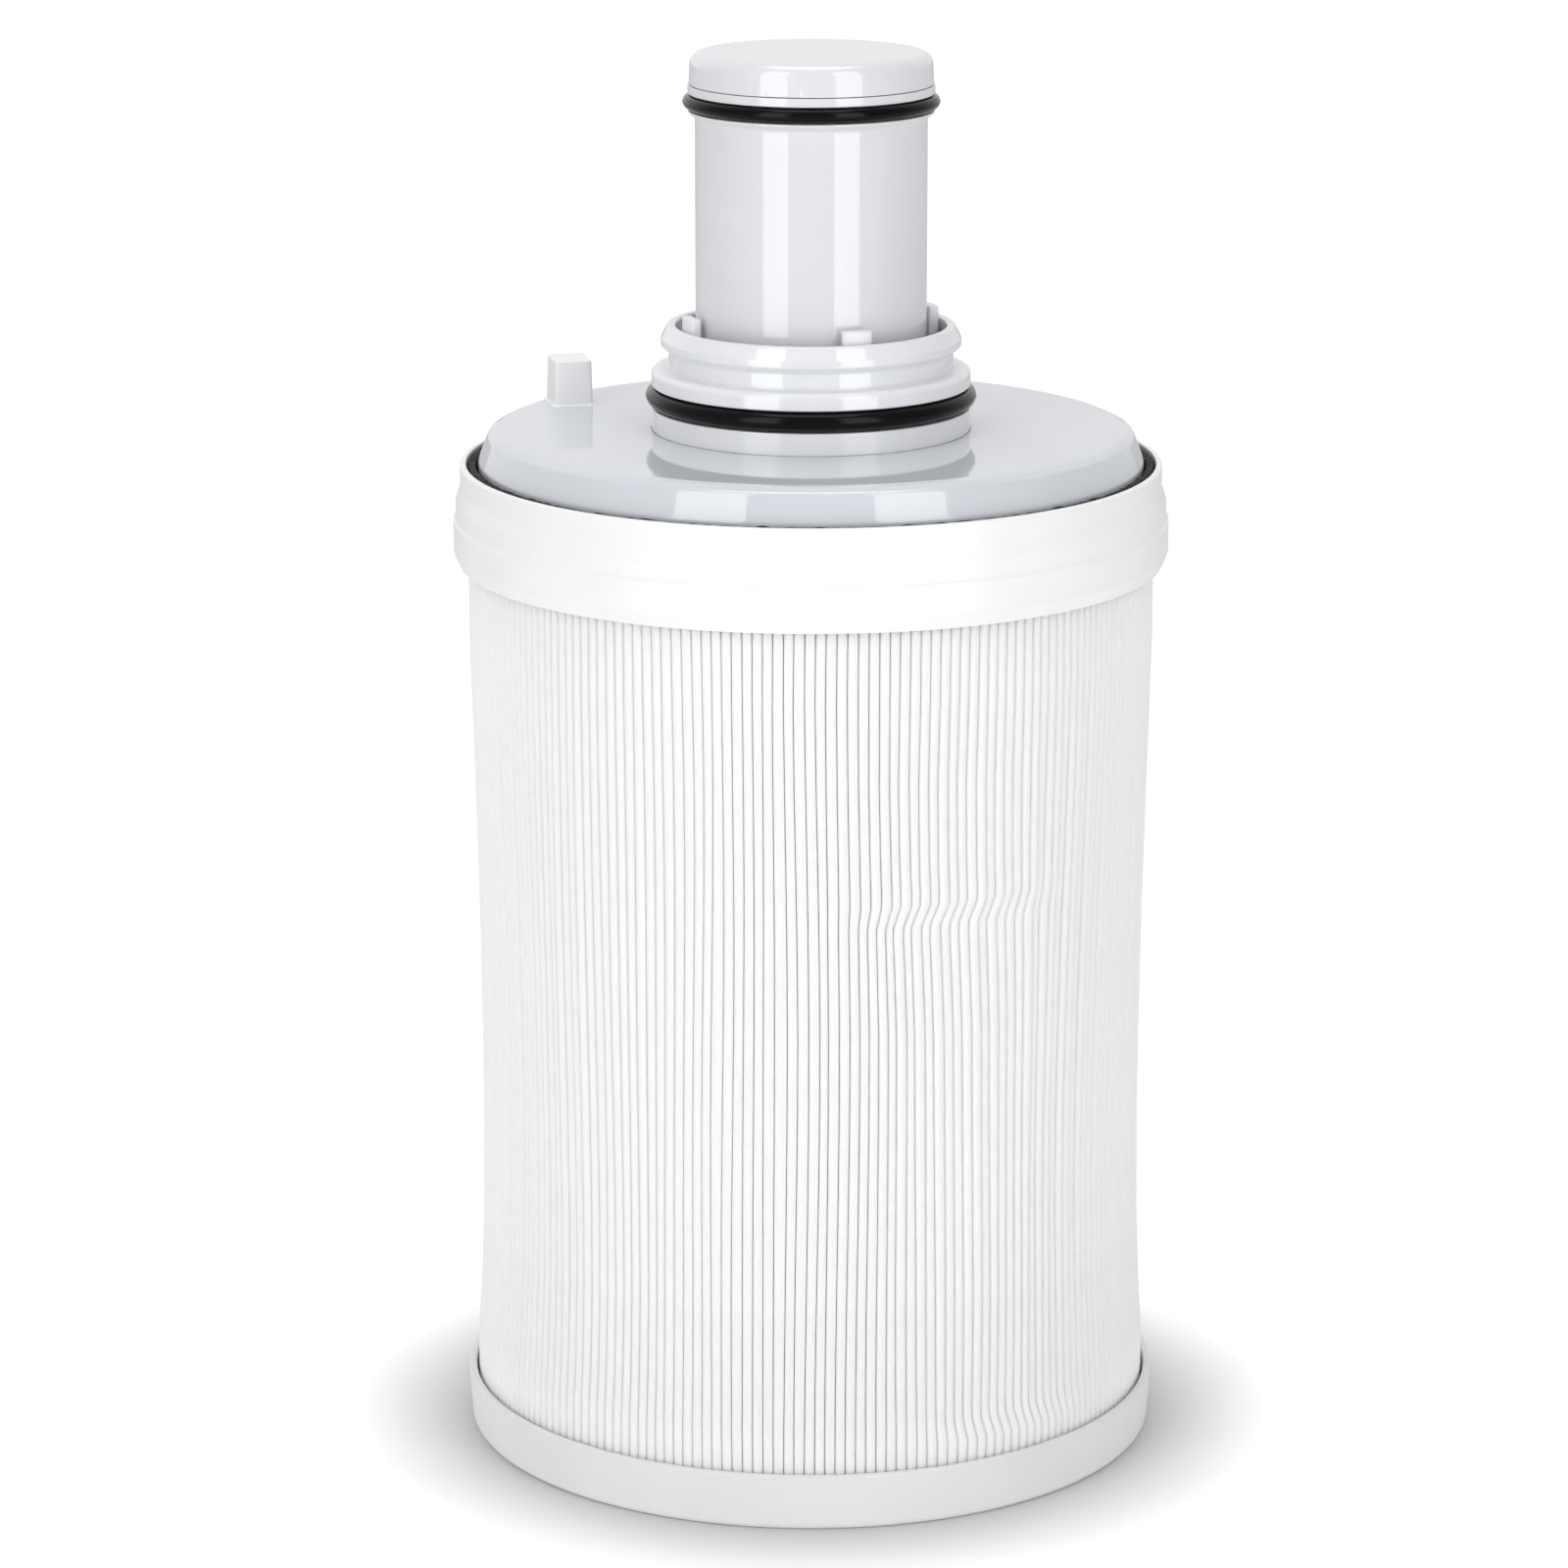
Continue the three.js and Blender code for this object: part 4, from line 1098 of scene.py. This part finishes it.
def polar_block(name, at_deg, width, r_low, r_high, z_low, z_high, edge):
    """A rounded block bent round the axis: rows of a superellipse in (along the arc, radius), stacked up
    Z, drawn in as a quarter circle at the bottom and the top."""
    quarter = np.linspace(0, PI / 2, 6)
    z = np.concatenate([
        [z_low] * 3, z_low + edge * (1 - np.cos(quarter)), np.linspace(z_low + edge, z_high - edge, 8)[1:-1],
        z_high - edge + edge * np.sin(quarter), [z_high] * 3,
    ])
    flat_end = edge * np.array([1.6, 1.4, 1.2])
    inset = np.concatenate([
        flat_end, edge - edge * np.sin(quarter), np.zeros(6), edge - edge * np.cos(quarter), flat_end[::-1],
    ])
    b = np.arange(64) / 64 * 2 * PI
    middle_r, half_r = (r_low + r_high) / 2, (r_high - r_low) / 2
    along = (width / 2 - inset)[:, None] * rounded(np.cos(b), BLOCK_CORNER)
    r = middle_r + (half_r - inset)[:, None] * rounded(np.sin(b), BLOCK_CORNER)
    a = math.radians(at_deg) - along / middle_r
    rub = np.where((z > z_high - edge) & (inset < edge), 1.0, 0.0)
    return stacked(name, r * np.cos(a), r * np.sin(a), z, rub)


lock_flange = turned("lock_flange", [
    (LOCK_INNER, LOCK_LOW, 0.4), (LOCK_FLANGE, LOCK_LOW, 0.4),
    (LOCK_FLANGE, LOCK_TOP, 0.4), (LOCK_INNER, LOCK_TOP, 0.4),
], steps=240)
finish_piece(lock_flange, "lock_ring", lock_plastic, "white_plastic", "lock_ring")
for number, at_deg in enumerate(TAB_ANGLES, 1):
    for name, *sizes in (("lock_tab_", TAB_WIDTH, TAB_INNER, TAB_OUTER, FOOT_Z, TAB_TOP, TAB_EDGE),
                         ("lock_key_", KEY_WIDTH, KEY_INNER, TAB_INNER + 0.8, FOOT_Z, KEY_TOP, KEY_EDGE)):
        block = polar_block(name + str(number), at_deg, *sizes)
        finish_piece(block, "lock_ring", lock_plastic, "white_plastic", "lock_ring")

# %% [markdown]
# ## Stem
# The narrow stem is the lamp module's housing. It is the glossiest part, a thin polished tube with a head
# that carries the upper O-ring. Four grooves run up its foot, where the lock ring's keys slide in. The
# grooves are pressed into the turned surface: points inside a groove's width and below its top move in to
# its root.

# %% Stem housing
STEM_R, STEM_BORE, STEM_LOW, STEM_FLOOR = 22.1, 19.5, low("stem_housing"), 200.0
KEYWAY_ROOT, KEYWAY_TOP, KEYWAY_WIDTH, KEYWAY_SIDE = 20.7, 206.0, 4.2, 0.3
HEAD_START, HEAD_R, LAND_R, LAND_TOP = 259.2, 23.4, 23.5, high("stem_housing")
HEAD_GROOVE_ROOT, HEAD_GROOVE_LOW, HEAD_GROOVE_HIGH = 21.3, 262.2 - 1.6, 262.2 + 1.6
NUT_SEAT = 18.0
NUT_TOP = high("sleeve_nut") + 0.3
SEAL_SEAT, SLEEVE_HOLE, SEAL_ROOF = 16.0, 12.4, STEM_FLOOR - 3.4


def keyways(r, z, a):
    """Radius cut down to the root inside each groove, with steep but smooth sides KEYWAY_SIDE wide."""
    away = np.full_like(r + a, 99.0)
    for at_deg in TAB_ANGLES:
        off = (a - math.radians(at_deg) + PI) % (2 * PI) - PI
        away = np.minimum(away, np.abs(off) * STEM_R)
    inside = np.clip((KEYWAY_WIDTH / 2 - away) / KEYWAY_SIDE + 0.5, 0, 1)
    below = np.clip((KEYWAY_TOP - z) / KEYWAY_SIDE + 0.5, 0, 1)
    depth = np.clip(r - KEYWAY_ROOT, 0, None) * inside * below
    return r - depth, z + 0 * a


stem = turned("stem_housing_smooth", [
    (NUT_SEAT, STEM_LOW, 0.3), (STEM_R, STEM_LOW, 0.5), (STEM_R, KEYWAY_TOP - 0.4, 0),
    (STEM_R, KEYWAY_TOP + 0.4, 0), (STEM_R, HEAD_START, 1.0), (HEAD_R, HEAD_START + 1.0, 0.3),
    (HEAD_R, HEAD_GROOVE_LOW, 0.15), (HEAD_GROOVE_ROOT, HEAD_GROOVE_LOW, 0.3),
    (HEAD_GROOVE_ROOT, HEAD_GROOVE_HIGH, 0.3), (LAND_R, HEAD_GROOVE_HIGH, 0.2), (LAND_R, LAND_TOP, 0.12),
    (STEM_BORE, LAND_TOP, 0.3), (STEM_BORE, STEM_FLOOR, 0.6), (SLEEVE_HOLE, STEM_FLOOR, 0.3),
    (SLEEVE_HOLE, SEAL_ROOF, 0.2), (SEAL_SEAT, SEAL_ROOF, 0.4), (SEAL_SEAT, NUT_TOP, 0.2),
    (NUT_SEAT, NUT_TOP, 0.2),
], steps=480, shape=keyways)
finish_piece(stem, "lamp_module", stem_plastic, "white_plastic", "stem_housing")
o_ring("stem_o_ring", "lamp_module", HEAD_GROOVE_ROOT + 0.1)

# %% [markdown]
# ## Stem cap
# The cap is welded on once the coil is inside. It has a wide rounded edge and draws in slightly towards
# the top. At the front, its lower rim has one shallow pocket where a tool can find the seam: only the
# pocket's two upright sides show, as short ticks.

# %% Stem cap
CAP_R, CAP_LOW, CAP_TOP = radius("stem_cap"), LAND_TOP + 0.12, high("stem_cap")
CAP_ROOF, CAP_SPIGOT, CAP_WALL, CAP_DRAFT = 268.8, 19.2, 2.0, 0.25
NOTCH_X, NOTCH_WIDTH, NOTCH_HEIGHT, NOTCH_DEPTH = -5.2, 6.6, 1.6, 0.16
NOTCH_SIDE, NOTCH_FADE = 0.2, 0.8


def notch(r, z, a):
    """At the front, within the notch's width, the skirt is pressed in; upwards the pocket fades out."""
    off = np.abs(r * np.cos(a) - NOTCH_X)
    inside = np.clip((NOTCH_WIDTH / 2 - off) / NOTCH_SIDE + 0.5, 0, 1) * (np.sin(a) < 0) * (r > CAP_R - 1.0)
    fade = np.clip((CAP_LOW + NOTCH_HEIGHT - z) / NOTCH_FADE, 0, 1)
    return r - NOTCH_DEPTH * inside * fade, z + 0 * a


cap = turned("stem_cap_smooth", [
    (0, CAP_ROOF, 0), (CAP_SPIGOT - CAP_WALL, CAP_ROOF, 0.5), (CAP_SPIGOT - CAP_WALL, low("stem_cap"), 0.4),
    (CAP_SPIGOT, low("stem_cap"), 0.4), (CAP_SPIGOT, CAP_LOW, 0.2), (CAP_R, CAP_LOW, 0.12),
    (CAP_R - CAP_DRAFT, CAP_TOP, 2.3), (0, CAP_TOP, 0),
], steps=600, spacing=0.8, shape=notch)
finish_piece(cap, "lamp_module", stem_plastic, "white_plastic", "stem_cap")

# %% [markdown]
# ## Lamp and sleeve
# The lamp hangs in a quartz sleeve, closed below by a hemisphere, which keeps it dry. Clear glass needs
# real walls, inside and outside, or it bends light wrongly, so the sleeve is a turned profile of its
# whole wall.

# %% Quartz sleeve and lamp
SLEEVE_R, SLEEVE_LOW, SLEEVE_TOP = extent("quartz_sleeve")
SLEEVE_WALL = 1.4
LAMP_R, LAMP_LOW, LAMP_TOP = extent("uv_lamp")

inner_r = SLEEVE_R - SLEEVE_WALL
centre_z = SLEEVE_LOW + SLEEVE_R
quarter = np.linspace(0, PI / 2, 17)
dome = [(SLEEVE_R * math.sin(t), centre_z - SLEEVE_R * math.cos(t), 0) for t in quarter]
well = [(inner_r * math.sin(t), centre_z - inner_r * math.cos(t), 0) for t in quarter[::-1]]
rim = [(SLEEVE_R, SLEEVE_TOP, 0.5), (inner_r, SLEEVE_TOP, 0.5)]
sleeve = turned("quartz_sleeve_smooth", [*dome, *rim, *well], steps=96)
finish_piece(sleeve, "lamp_module", clear_quartz, "quartz", "quartz_sleeve")

lamp = turned("uv_lamp_smooth", [
    (0, LAMP_LOW, 0), (LAMP_R - 1, LAMP_LOW, 4.5), (LAMP_R, LAMP_LOW + 4, 3.0),
    (LAMP_R, LAMP_TOP, 0.6), (0, LAMP_TOP, 0),
], steps=72)
finish_piece(lamp, "lamp_module", lamp_glass, "quartz", "uv_lamp")

# %% Lamp base, spacers, nut and seal
r, foot, top = extent("lamp_base")
lamp_base = turned("lamp_base_smooth", [(0, foot, 0), (r, foot, 0.6), (r, top, 0.9), (0, top, 0)], steps=96)
finish_piece(lamp_base, "lamp_module", white_ceramic, "ceramic", "lamp_base")

for name in ("lamp_spacer_lower", "lamp_spacer_upper"):
    r, foot, top = extent(name)
    bore = LAMP_R + 0.3
    corners = [(bore, foot, 0.5), (r, foot, 0.7), (r, top, 0.7), (bore, top, 0.5)]
    spacer = turned(name + "_smooth", corners, steps=96)
    finish_piece(spacer, "lamp_module", inner_plastic, "white_plastic", name)

NUT_R, NUT_LOW, NUT_HIGH = extent("sleeve_nut")
NUT_BORE, NUT_THREAD, NUT_FLANGE_TOP = 12.6, 17.7, 185.7
GRIP_RIBS, GRIP_DEPTH, GRIP_CUT = 24, 0.35, 0.55


def grip(r, z, a):
    """Flat notches cut into the flange's rim, so that the nut can be turned by hand."""
    return r - GRIP_DEPTH * (np.cos(GRIP_RIBS * a) > GRIP_CUT) * (r > NUT_THREAD + 1), z + 0 * a


nut = turned("sleeve_nut_smooth", [
    (NUT_BORE, NUT_LOW, 0.6), (NUT_R, NUT_LOW, 0.8), (NUT_R, NUT_FLANGE_TOP, 0.5),
    (NUT_THREAD, NUT_FLANGE_TOP, 0.3), (NUT_THREAD, NUT_HIGH, 0.5), (NUT_BORE, NUT_HIGH, 0.5),
], steps=240, shape=grip)
finish_piece(nut, "lamp_module", inner_plastic, "white_plastic", "sleeve_nut")
o_ring("sleeve_o_ring", "lamp_module", SLEEVE_R + 0.2, columns=120)

# %% [markdown]
# ## Inner pieces
# What can't be seen from outside keeps the solid model's shape, and gets its own finish all the same, for
# when the cartridge is drawn opened or cut.

# %% Finishes of the inner pieces
INNER_FINISHES = [
    (inner_plastic, "prefilter_core", "lower_end_cap", "core_tube", "coil_bobbin"),
    (black_rubber, "lower_block_gasket", "upper_block_gasket"),
    (pressed_carbon, "carbon_block"),
    (felt_wrap, "carbon_wrap"),
    (wound_copper, "secondary_coil", "lamp_lead_a", "lamp_lead_b"),
    (solder_mask, "circuit_board"),
    (capacitor_film, "resonant_capacitor"),
    (chip_resin, "chip_tag"),
    (white_ceramic, "lamp_holder"),
]
for material, *names in INNER_FINISHES:
    for name in names:
        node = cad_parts[name]
        node.data.materials.clear()
        node.data.materials.append(material)
    print(material.name, "goes on", ", ".join(names))
